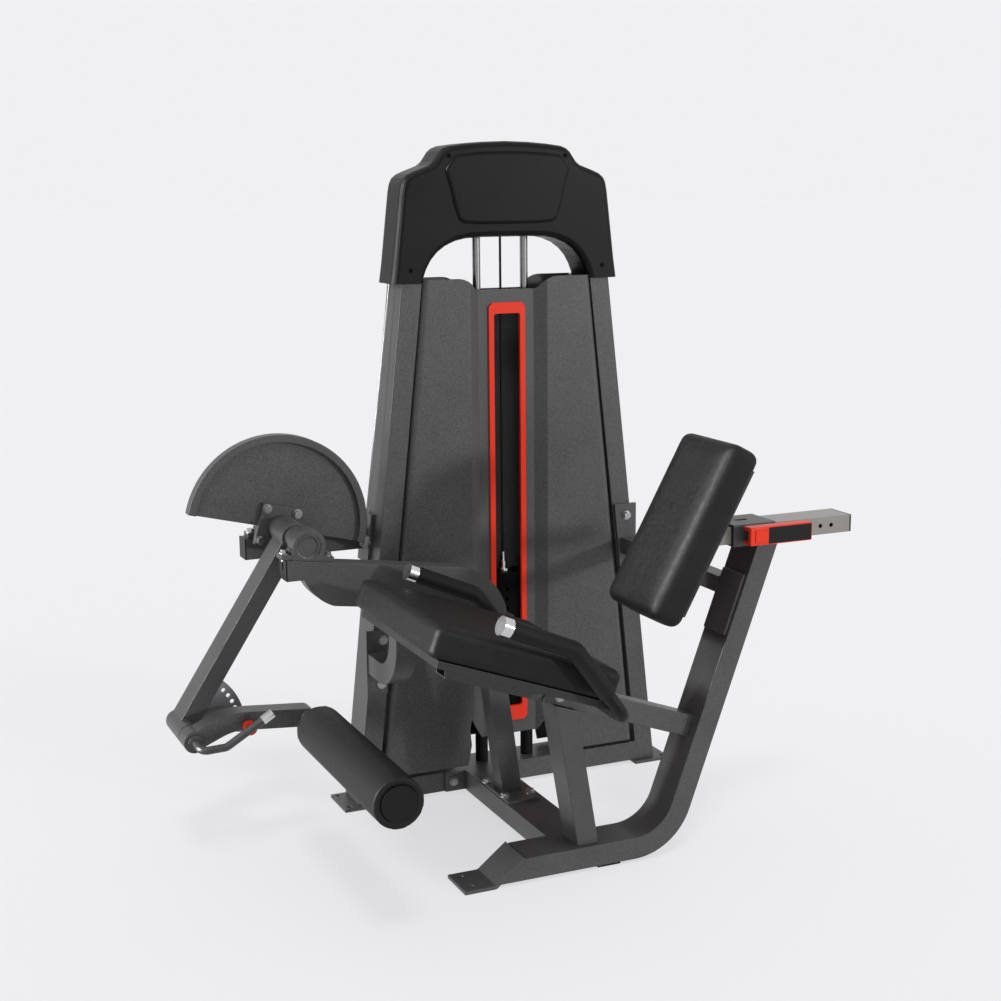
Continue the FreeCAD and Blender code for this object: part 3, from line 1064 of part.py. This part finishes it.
HANDLE_R = 14.0
GRIP_R = 19.0
HANDLE_Y = (-272.0, -790.0)
GRIP_START = (-358.0, 648.0)
GRIP_BEND = (-213.0, 585.0)
RETURN_START = (-92.0, 419.0)
handles = []
grips = []
grip_caps = []
for y in HANDLE_Y:
    side = 1.0 if y > SEAT_MID_Y else -1.0
    rail_face = SEAT_MID_Y + side * TUBE_SHORT / 2
    path = [(GRIP_START[0], y, GRIP_START[1]), (GRIP_BEND[0], y, GRIP_BEND[1]), (RETURN_START[0], y, RETURN_START[1]),
            (RETURN_START[0], rail_face, 425.0)]
    handles.append(pipe(path, 34.0, HANDLE_R).cut(box(-200, 0, -556, -506, 300, 600)))
    grip_path = [(GRIP_START[0], y, GRIP_START[1]), (GRIP_BEND[0], y, GRIP_BEND[1]),
                 (GRIP_BEND[0] + 0.62 * (RETURN_START[0] - GRIP_BEND[0]), y,
                  GRIP_BEND[1] + 0.62 * (RETURN_START[1] - GRIP_BEND[1]))]
    grips.append(pipe(grip_path, 34.0, GRIP_R).cut(pipe(path, 34.0, HANDLE_R + 0.05)))
    reach = math.hypot(GRIP_BEND[0] - GRIP_START[0], GRIP_BEND[1] - GRIP_START[1])
    way = ((GRIP_BEND[0] - GRIP_START[0]) / reach, (GRIP_BEND[1] - GRIP_START[1]) / reach)
    grip_caps.append(rod((GRIP_START[0], y, GRIP_START[1]), (GRIP_START[0] - 22 * way[0], y, GRIP_START[1] - 22 * way[1]),
                         GRIP_R + 1.5))
save(Part.makeCompound(handles), "seat_handles")
save(Part.makeCompound(grips), "handle_grips")
save(Part.makeCompound(grip_caps), "handle_caps")

# ---------------------------------------------------------------- adjustable back rest
SLEEVE_Z0 = FRAME_TOP
SLEEVE_Z1 = FRAME_TOP + 50.0
SLIDER_Y0 = -571.0
SLIDER_Y1 = -491.0
SLIDER_Z0 = 713.0
SLIDER_Z1 = 753.0
LINER = 0.1
sleeve = box(SLEEVE_X0, SLEEVE_X1, FRAME_Y0, FRAME_Y1, SLEEVE_Z0, SLEEVE_Z1)
sleeve_bore = box(SLEEVE_X0 - 1, SLEEVE_X1 + 1, FRAME_Y0 + 4, FRAME_Y1 - 4, SLEEVE_Z0 + 3, SLEEVE_Z1 - 3)
sleeve = sleeve.cut(sleeve_bore)
sleeve_slot = box(329, 349, -537, -523, SLEEVE_Z1 - 10, SLEEVE_Z1 + 10)
for x in (329, 349):
    sleeve_slot = sleeve_slot.fuse(rod_z(x, -530, SLEEVE_Z1 - 10, SLEEVE_Z1 + 10, 7))
sleeve = sleeve.cut(sleeve_slot)
LOCK_X = 405.0 - 25.0
LOCK_Z = 733.0
LOCK_R = 5.0
sleeve = sleeve.cut(rod_y(LOCK_X, LOCK_Z, FRAME_Y0 - 5, FRAME_Y0 + 10, LOCK_R + 1.0))
liner = box(SLEEVE_X0, SLEEVE_X1, FRAME_Y0 + 4.05, FRAME_Y1 - 4.05, SLEEVE_Z0 + 3.05, SLEEVE_Z1 - 3.05)
liner = liner.cut(box(SLEEVE_X0 - 1, SLEEVE_X1 + 1, SLIDER_Y0 - LINER, SLIDER_Y1 + LINER, SLIDER_Z0 - LINER, SLIDER_Z1 + LINER))
liner = liner.cut(rod_y(LOCK_X, LOCK_Z, FRAME_Y0 - 5, SLIDER_Y0 + 5, LOCK_R + 1.0))

back = math.radians(BACK_ANGLE)


def back_point(s, t):
    """Up along the pad's front face, and into the pad from that face."""
    return (BACK_X + s * math.sin(back) + t * math.cos(back), BACK_Z + s * math.cos(back) - t * math.sin(back))


def back_block(s0, s1, t0, t1, y0, y1):
    return slab("xz", [back_point(s0, t0), back_point(s1, t0), back_point(s1, t1), back_point(s0, t1)], y0, y1)


back_pad = back_block(0, BACK_LENGTH, 0, BACK_THICK - 0.3, BACK_Y0, BACK_Y1)
back_pad = back_pad.makeFillet(24.0, back_pad.Edges)
save(back_pad, "back_pad")
back_board = back_block(34, BACK_LENGTH - 34, BACK_THICK, BACK_THICK + 14, BACK_Y0 + 34, BACK_Y1 - 34)
bracket_t0 = BACK_THICK + 14
bracket_t1 = bracket_t0 + 6
BACK_BOLTS = [(s, y) for s in (80.0, 330.0) for y in (SEAT_MID_Y - 28, SEAT_MID_Y + 28)]
bracket = back_block(45, 355, bracket_t0, bracket_t1, SEAT_MID_Y - 45, SEAT_MID_Y + 45)
out_way = (math.cos(back), 0, -math.sin(back))
bolt_spots = []
for s, y in BACK_BOLTS:
    x, z = back_point(s, bracket_t1)
    bolt_spots.append((x, y, z))
back_board = drilled(back_board, bolt_spots, out_way, BOLT_R + HOLE_GAP, 17)
bracket = drilled(bracket, bolt_spots, out_way, BOLT_R + HOLE_GAP, 17)
save(Part.makeCompound([back_board] + [bolt(spot, out_way, 17) for spot in bolt_spots]), "back_board")

slider = box(150, SLIDER_END_X, SLIDER_Y0, SLIDER_Y1, SLIDER_Z0, SLIDER_Z1)
slider = slider.cut(box(140, SLIDER_END_X + 10, SLIDER_Y0 + WALL, SLIDER_Y1 - WALL, SLIDER_Z0 + WALL, SLIDER_Z1 - WALL))
slider = slider.cut(slab("xz", [back_point(-300, bracket_t1), back_point(600, bracket_t1), back_point(600, -300), back_point(-300, -300)],
                         -700, -400))
SLIDER_STEP = 30.0
for i in range(-1, 7):
    slider = slider.cut(rod_y(LOCK_X + i * SLIDER_STEP, LOCK_Z, SLIDER_Y0 - 1, SLIDER_Y0 + 10, LOCK_R + FIT))
save(slider.fuse(bracket).removeSplitter(), "slider_tube")
save(box(SLIDER_END_X, SLIDER_END_X + 4, SLIDER_Y0, SLIDER_Y1, SLIDER_Z0, SLIDER_Z1), "slider_end_cap")

# lever beside the sleeve that pulls the locking pin
LEVER_PIVOT = (330.0, -598.0)
LEVER_X0 = 310.0
LEVER_X1 = 474.0
LEVER_Z0 = 715.0
LEVER_Z1 = 757.0
LEVER_Y_NEAR = -620.0
LEVER_Y_FAR = -590.0
handle = box(LEVER_X0, LEVER_X1, LEVER_Y_NEAR, LEVER_Y_FAR, LEVER_Z0, LEVER_Z1)
handle = handle.makeFillet(3.0, handle.Edges)
handle = handle.cut(box(LEVER_X0 - 1, 350, -610, LEVER_Y_FAR + 1, LEVER_Z0 + 8, LEVER_Z1 - 8))
PIVOT_BOLT_R = 4.0
handle = handle.cut(rod_z(LEVER_PIVOT[0], LEVER_PIVOT[1], LEVER_Z0 - 1, LEVER_Z1 + 1, PIVOT_BOLT_R + FIT))
handle = handle.cut(box(358, 471.5, LEVER_Y_NEAR - 1, LEVER_Y_NEAR + 1.5, LEVER_Z0 + 2.5, LEVER_Z1 - 2.5))
handle = handle.cut(box(323, 355, LEVER_Y_NEAR - 1, LEVER_Y_NEAR + 1.5, LEVER_Z0 + 7, LEVER_Z1 - 7))
handle = handle.cut(box(LOCK_X - 11, LOCK_X + 11, -606, LEVER_Y_FAR + 1, LOCK_Z - 9, LOCK_Z + 9))
save(box(358.1, 471.4, LEVER_Y_NEAR - 0.6, LEVER_Y_NEAR + 1.4, LEVER_Z0 + 2.6, LEVER_Z1 - 2.6), "adjuster_face")
press_pad = box(323.1, 354.9, LEVER_Y_NEAR - 2, LEVER_Y_NEAR + 1.5, LEVER_Z0 + 7.1, LEVER_Z1 - 7.1)
save(handle.fuse(press_pad).removeSplitter(), "adjuster_lever")
bracket_arm = box(318, 342, -605, FRAME_Y0, LEVER_Z0 + 8.5, LEVER_Z1 - 8.5)
bracket_arm = bracket_arm.cut(rod_z(LEVER_PIVOT[0], LEVER_PIVOT[1], 700, 800, PIVOT_BOLT_R + 0.02))
save(sleeve.fuse(bracket_arm).removeSplitter(), "slider_sleeve")
all_bolts.append(rod_z(LEVER_PIVOT[0], LEVER_PIVOT[1], LEVER_Z0 + 0.5, LEVER_Z1 - 0.5, PIVOT_BOLT_R))
save(Part.makeCompound(all_bolts), "frame_bolts")
lock_pin = rod_y(LOCK_X, LOCK_Z, -603, SLIDER_Y0 + 6, LOCK_R)
lock_pin = lock_pin.fuse(rod_y(LOCK_X, LOCK_Z, -603, -599, 7))
save(lock_pin.removeSplitter(), "lock_pin")

# plastic pieces pushed into tube ends and round the slider
save(Part.makeCompound([nose_cap, far_cap, liner]), "plastic_inserts")
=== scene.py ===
import json
import math
import bpy
from mathutils import Matrix, Vector


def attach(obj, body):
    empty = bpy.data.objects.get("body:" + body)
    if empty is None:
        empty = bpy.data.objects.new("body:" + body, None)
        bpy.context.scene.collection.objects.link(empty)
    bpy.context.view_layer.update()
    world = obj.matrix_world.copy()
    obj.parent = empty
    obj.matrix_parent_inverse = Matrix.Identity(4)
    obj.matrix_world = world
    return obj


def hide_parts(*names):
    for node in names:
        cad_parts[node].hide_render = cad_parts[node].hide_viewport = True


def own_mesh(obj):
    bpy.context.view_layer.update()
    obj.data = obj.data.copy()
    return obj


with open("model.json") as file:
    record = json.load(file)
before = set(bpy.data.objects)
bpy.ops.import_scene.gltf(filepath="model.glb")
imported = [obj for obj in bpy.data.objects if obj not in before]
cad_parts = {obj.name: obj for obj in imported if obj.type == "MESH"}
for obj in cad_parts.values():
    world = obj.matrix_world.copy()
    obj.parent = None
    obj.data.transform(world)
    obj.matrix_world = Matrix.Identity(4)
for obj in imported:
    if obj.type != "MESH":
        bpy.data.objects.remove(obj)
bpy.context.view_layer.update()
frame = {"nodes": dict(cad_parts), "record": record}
NODES = frame["nodes"]
scene = bpy.context.scene
scene.view_settings.view_transform = "Standard"

# ---------------------------------------------------------------- camera
CAMERA_PLACE = Vector((-1.6624, -3.7252, 1.5168))
YAW = math.radians(23.977)
PITCH = math.radians(10.872)
ROLL = math.radians(-0.50)
LENS = 59.37
SENSOR_WIDTH = 36.0
CLIP_END = 300.0

forward = Vector((math.sin(YAW) * math.cos(PITCH), math.cos(YAW) * math.cos(PITCH), -math.sin(PITCH)))
level_right = Vector((math.cos(YAW), -math.sin(YAW), 0.0))
level_up = level_right.cross(forward)
right = level_right * math.cos(ROLL) + level_up * math.sin(ROLL)
up = level_up * math.cos(ROLL) - level_right * math.sin(ROLL)
camera_data = bpy.data.cameras.new("camera")
camera_data.lens = LENS
camera_data.sensor_width = SENSOR_WIDTH
camera_data.clip_end = CLIP_END
camera = bpy.data.objects.new("camera", camera_data)
facing = Matrix((right, up, -forward)).transposed().to_4x4()
camera.matrix_world = Matrix.Translation(CAMERA_PLACE) @ facing
scene.collection.objects.link(camera)
scene.camera = camera

# ---------------------------------------------------------------- materials
GRAIN_DETAIL = 2.0
PATCH_SIZE = 0.12
PATCH_DETAIL = 3.0
BEVEL_SAMPLES = 4

LEATHER_GRAIN = 0.0016
LEATHER_CREASE = 0.12
LEATHER_PATCH = 0.05
LEATHER_DIMPLE = 0.012
LEATHER_SPECULAR = 0.13
CREASE_DEPTH = 0.00012
DIMPLE_DEPTH = 0.0006


def material(name):
    made = bpy.data.materials.new(name)
    made.use_nodes = True
    return made, made.node_tree, made.node_tree.nodes["Principled BSDF"]


def noise(tree, place, size, detail):
    """Noise whose blobs are about `size` metres across."""
    made = tree.nodes.new("ShaderNodeTexNoise")
    made.inputs["Scale"].default_value = 1.0 / size
    made.inputs["Detail"].default_value = detail
    made.inputs["Roughness"].default_value = 0.5
    tree.links.new(place, made.inputs["Vector"])
    return made.outputs["Fac"]


def ramp(tree, value, low, high, start=0.3, end=0.7):
    """Runs from `low` to `high` while the value runs from `start` to `end`."""
    made = tree.nodes.new("ShaderNodeMapRange")
    made.inputs["From Min"].default_value = start
    made.inputs["From Max"].default_value = end
    made.inputs["To Min"].default_value = low
    made.inputs["To Max"].default_value = high
    tree.links.new(value, made.inputs["Value"])
    return made.outputs["Result"]


def tinted(tree, colour, factor):
    """The colour times a factor that a node gives."""
    made = tree.nodes.new("ShaderNodeVectorMath")
    made.operation = "SCALE"
    made.inputs[0].default_value = colour
    tree.links.new(factor, made.inputs["Scale"])
    return made.outputs["Vector"]


def bumped(tree, height, depth):
    """A bump node over the height, `depth` metres deep."""
    made = tree.nodes.new("ShaderNodeBump")
    made.inputs["Distance"].default_value = depth
    tree.links.new(height, made.inputs["Height"])
    return made


def finish(name, colour, roughness, specular=0.3, metallic=0.0,
           grain=0.0008, depth=0.0001, speckle=0.15, patch=0.08, edge=0.0):
    """A surface with fine grain and faint patches; `edge` is the radius its edges are shaded with."""
    made, tree, shader = material(name)
    place = tree.nodes.new("ShaderNodeTexCoord").outputs["Object"]
    fine = noise(tree, place, grain, GRAIN_DETAIL)
    broad = noise(tree, place, PATCH_SIZE, PATCH_DETAIL)
    variation = tree.nodes.new("ShaderNodeMath")
    variation.operation = "MULTIPLY"
    tree.links.new(ramp(tree, fine, 1.0 - speckle, 1.0 + speckle), variation.inputs[0])
    tree.links.new(ramp(tree, broad, 1.0 - patch, 1.0 + patch), variation.inputs[1])
    tree.links.new(tinted(tree, colour, variation.outputs[0]), shader.inputs["Base Color"])
    tree.links.new(ramp(tree, broad, roughness * 0.9, roughness * 1.1), shader.inputs["Roughness"])
    shader.inputs["Metallic"].default_value = metallic
    shader.inputs["Specular IOR Level"].default_value = specular
    bump = bumped(tree, fine, depth)
    if edge:
        rounded = tree.nodes.new("ShaderNodeBevel")
        rounded.samples = BEVEL_SAMPLES
        rounded.inputs["Radius"].default_value = edge
        tree.links.new(rounded.outputs["Normal"], bump.inputs["Normal"])
    tree.links.new(bump.outputs["Normal"], shader.inputs["Normal"])
    return made


def leather(name, colour, roughness):
    """Coated vinyl: small round grains with fine creases between them, and shallow dimples."""
    made, tree, shader = material(name)
    place = tree.nodes.new("ShaderNodeTexCoord").outputs["Object"]
    cells = tree.nodes.new("ShaderNodeTexVoronoi")
    cells.feature = "DISTANCE_TO_EDGE"
    cells.inputs["Scale"].default_value = 1.0 / LEATHER_GRAIN
    tree.links.new(place, cells.inputs["Vector"])
    crease = ramp(tree, cells.outputs["Distance"], 0.0, 1.0, 0.0, LEATHER_CREASE)
    broad = noise(tree, place, LEATHER_PATCH, 4.0)
    soft = noise(tree, place, LEATHER_DIMPLE, 3.0)
    tree.links.new(tinted(tree, colour, ramp(tree, broad, 0.85, 1.15)), shader.inputs["Base Color"])
    tree.links.new(ramp(tree, soft, roughness * 0.88, roughness * 1.12), shader.inputs["Roughness"])
    shader.inputs["Specular IOR Level"].default_value = LEATHER_SPECULAR
    small = bumped(tree, crease, CREASE_DEPTH)
    wide = bumped(tree, soft, DIMPLE_DEPTH)
    tree.links.new(wide.outputs["Normal"], small.inputs["Normal"])
    tree.links.new(small.outputs["Normal"], shader.inputs["Normal"])
    return made


LOOKS = {
    "powder_coat": finish("powder_coat", (0.050, 0.0485, 0.050), 0.40, 0.36,
                          grain=0.0026, depth=0.00030, speckle=0.42, edge=0.0040),
    "hood_plastic": finish("hood_plastic", (0.0050, 0.0050, 0.0046), 0.36, 0.12,
                           grain=0.0009, depth=0.00006, speckle=0.10, edge=0.0012),
    "trim_plastic": finish("trim_plastic", (0.62, 0.026, 0.006), 0.34, 0.22,
                           grain=0.002, depth=0.00003, speckle=0.03, patch=0.03, edge=0.0008),
    "black_plastic": finish("black_plastic", (0.0045, 0.0045, 0.0045), 0.44, 0.15,
                            speckle=0.12, edge=0.0006),
    "rubber": finish("rubber", (0.006, 0.006, 0.006), 0.7, 0.12, grain=0.0015, depth=0.0002),
    "upholstery": leather("upholstery", (0.0085, 0.0085, 0.0086), 0.50),
    "board": finish("board", (0.012, 0.012, 0.012), 0.38, 0.35, grain=0.0014, edge=0.0015),
    "chrome": finish("chrome", (0.62, 0.62, 0.63), 0.16, 0.5, 1.0,
                     grain=0.02, depth=0.00001, speckle=0.02),
    "rod_steel": finish("rod_steel", (0.27, 0.265, 0.265), 0.24, 0.5, 1.0,
                        grain=0.02, depth=0.00001, speckle=0.02),
    "steel": finish("steel", (0.30, 0.30, 0.31), 0.34, 0.5, 1.0,
                    depth=0.00004, speckle=0.10, edge=0.0006),
    "weights": finish("weights", (0.0012, 0.0012, 0.0012), 0.5, 0.05, grain=0.0012, edge=0.001),
    "slider_grey": finish("slider_grey", (0.200, 0.188, 0.174), 0.30, 0.4,
                          grain=0.0012, depth=0.00006, speckle=0.06, edge=0.0018),
    "cable_coat": finish("cable_coat", (0.30, 0.30, 0.31), 0.30, 0.5, grain=0.0012),
    "foam_grip": finish("foam_grip", (0.0058, 0.0058, 0.0060), 0.60, 0.14,
                        grain=0.0012, depth=0.0004, speckle=0.30),
}
SCREW_BLACK = finish("screw_black", (0.0008, 0.0008, 0.0008), 0.6, 0.05, edge=0.0006)


def paint(thing, look):
    thing.data.materials.clear()
    thing.data.materials.append(LOOKS[look])


slot_of = {part["node"]: part["material_slot"] for part in frame["record"]["subparts"]}
for node, thing in NODES.items():
    paint(thing, slot_of[node])
NODES["hood_screws"].data.materials[0] = SCREW_BLACK

# ---------------------------------------------------------------- upholstered pads
SEAT_TILT = math.radians(20.0)
BACK_TILT = math.radians(29.0)
SEAT_UP = Vector((math.sin(SEAT_TILT), 0.0, math.cos(SEAT_TILT)))
BACK_OUT = Vector((-math.cos(BACK_TILT), 0.0, math.sin(BACK_TILT)))
ROLLER_OUT = Vector((0, -1, 0))
COVER_INSET = 0.001
PRESSURE = 4.0
CLOTH_MASS = 0.3
CLOTH_QUALITY = 5
CLOTH_FRAMES = 20
EVENING_ROUNDS = 12


def applied(thing):
    """Applies the thing's modifiers to its mesh and takes them off."""
    shown = thing.evaluated_get(bpy.context.evaluated_depsgraph_get())
    mesh = bpy.data.meshes.new_from_object(shown)
    thing.modifiers.clear()
    thing.data = mesh


def copied(node, name):
    thing = bpy.data.objects.new(name, NODES[node].data.copy())
    scene.collection.objects.link(thing)
    return thing


def evened(values, edges, rounds):
    """The values after being averaged with their neighbours' a number of times."""
    for _ in range(rounds):
        total = list(values)
        count = [1] * len(values)
        for edge in edges:
            a, b = edge.vertices
            total[a] += values[b]
            total[b] += values[a]
            count[a] += 1
            count[b] += 1
        values = [amount / number for amount, number in zip(total, count)]
    return values


def swollen(thing, pinned, cap):
    """Blows the cover up as cloth, then keeps only an even outward swell of at most `cap`."""
    start = [vertex.co.copy() for vertex in thing.data.vertices]
    group = thing.vertex_groups.new(name="held")
    group.add(pinned, 1.0, "REPLACE")
    cloth = thing.modifiers.new("cloth", "CLOTH")
    cloth.settings.use_pressure = True
    cloth.settings.uniform_pressure_force = PRESSURE
    cloth.settings.vertex_group_mass = "held"
    cloth.settings.quality = CLOTH_QUALITY
    cloth.settings.mass = CLOTH_MASS
    cloth.settings.effector_weights.gravity = 0.0
    cloth.point_cache.frame_start = 1
    cloth.point_cache.frame_end = CLOTH_FRAMES
    for step in range(1, CLOTH_FRAMES + 1):
        scene.frame_set(step)
    shown = thing.evaluated_get(bpy.context.evaluated_depsgraph_get())
    moved = [vertex.co.copy() for vertex in shown.data.vertices]
    thing.modifiers.clear()
    scene.frame_set(1)
    vertices = thing.data.vertices
    ways = [vertex.normal.copy() for vertex in vertices]
    swell = [(there - here).dot(way) for way, here, there in zip(ways, start, moved)]
    swell = evened([min(max(amount, 0.0), cap) for amount in swell], thing.data.edges, EVENING_ROUNDS)
    for vertex, here, way, amount in zip(vertices, start, ways, swell):
        vertex.co = here + way * amount


def cushion(node, name, body, outward, cap, voxel=0.006, held=0.012):
    """Stuffed copy of a pad: the cover swells outwards, its mounting side stays flat."""
    thing = copied(node, name)
    remesh = thing.modifiers.new("even", "REMESH")
    remesh.mode = "VOXEL"
    remesh.voxel_size = voxel
    applied(thing)
    for vertex in thing.data.vertices:
        vertex.co -= vertex.normal * COVER_INSET
    levels = [vertex.co.dot(outward) for vertex in thing.data.vertices]
    lowest = min(levels)
    swollen(thing, [i for i, level in enumerate(levels) if level < lowest + held], cap)
    for polygon in thing.data.polygons:
        polygon.use_smooth = True
    finer = thing.modifiers.new("finer", "SUBSURF")
    finer.levels = 1
    finer.render_levels = 1
    applied(thing)
    paint(thing, "upholstery")
    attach(thing, body)
    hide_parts(node)


cushion("seat_pad", "seat_cushion", "frame", SEAT_UP, cap=0.005)
cushion("back_pad", "back_cushion", "back_rest", BACK_OUT, cap=0.005)
cushion("roller_pad", "roller_cushion", "roller", ROLLER_OUT, cap=0.002, voxel=0.005, held=0.0)

# ---------------------------------------------------------------- cable above the stack, painted black as painted shade
cable = copied("cable_to_stack", "stack_cable_painted_shade")
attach(cable, "frame")
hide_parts("cable_to_stack")
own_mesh(cable)
# Painted shade: this stretch of the grey-coated cable is painted black because it runs in shade inside
# the tower.
paint(cable, "black_plastic")

# ---------------------------------------------------------------- floor and light
FLOOR_HALF = 120.0
FLOOR_LEVEL = -0.0005
FLOOR_COLOUR = (0.24, 0.24, 0.244, 1.0)
FLOOR_GLOW = (1.0, 1.0, 1.018, 1.0)
FLOOR_GLOW_STRENGTH = 0.618
STUDIO_COLOUR = (0.871, 0.871, 0.888)
DIM_SIDE = 0.45
DIM_FROM_X = -0.75
DIM_TO_X = -0.15

floor_mesh = bpy.data.meshes.new("floor")
corners = [(x * FLOOR_HALF, y * FLOOR_HALF, FLOOR_LEVEL) for x, y in ((-1, -1), (1, -1), (1, 1), (-1, 1))]
floor_mesh.from_pydata(corners, [], [(0, 1, 2, 3)])
floor = bpy.data.objects.new("floor", floor_mesh)
scene.collection.objects.link(floor)
floor_look, floor_tree, floor_shader = material("floor")
floor_shader.inputs["Base Color"].default_value = FLOOR_COLOUR
floor_shader.inputs["Roughness"].default_value = 0.9
floor_shader.inputs["Specular IOR Level"].default_value = 0.0
floor_shader.inputs["Emission Color"].default_value = FLOOR_GLOW
floor_shader.inputs["Emission Strength"].default_value = FLOOR_GLOW_STRENGTH
floor.data.materials.append(floor_look)

# The studio is dimmer on its -X side, by the direction that light comes from.
world = bpy.data.worlds.new("studio")
world.use_nodes = True
sky = world.node_tree
way_in = sky.nodes.new("ShaderNodeTexCoord").outputs["Generated"]
parts = sky.nodes.new("ShaderNodeSeparateXYZ")
sky.links.new(way_in, parts.inputs["Vector"])
side = ramp(sky, parts.outputs["X"], DIM_SIDE, 1.0, DIM_FROM_X, DIM_TO_X)
sky.links.new(tinted(sky, STUDIO_COLOUR, side), sky.nodes["Background"].inputs["Color"])
scene.world = world


def sun(name, azimuth, elevation, strength, spread, shine_only=False):
    """Light from a compass side (0 is -Y, 90 is +X), in degrees; a shine-only one just shows in gloss."""
    data = bpy.data.lights.new(name, "SUN")
    data.energy = strength
    data.angle = math.radians(spread)
    lamp = bpy.data.objects.new(name, data)
    a = math.radians(azimuth)
    e = math.radians(elevation)
    source = Vector((math.sin(a) * math.cos(e), -math.cos(a) * math.cos(e), math.sin(e)))
    lamp.visible_diffuse = not shine_only
    lamp.rotation_mode = "QUATERNION"
    lamp.rotation_quaternion = source.to_track_quat("Z", "Y")
    scene.collection.objects.link(lamp)


sun("key", 38.0, 9.0, 1.3, 5.0)
sun("overhead", -18.0, 62.0, 0.85, 12.0)
sun("rim", -96.0, 24.0, 16.0, 8.0, shine_only=True)
sun("rim_low", -96.0, 3.0, 9.0, 8.0, shine_only=True)
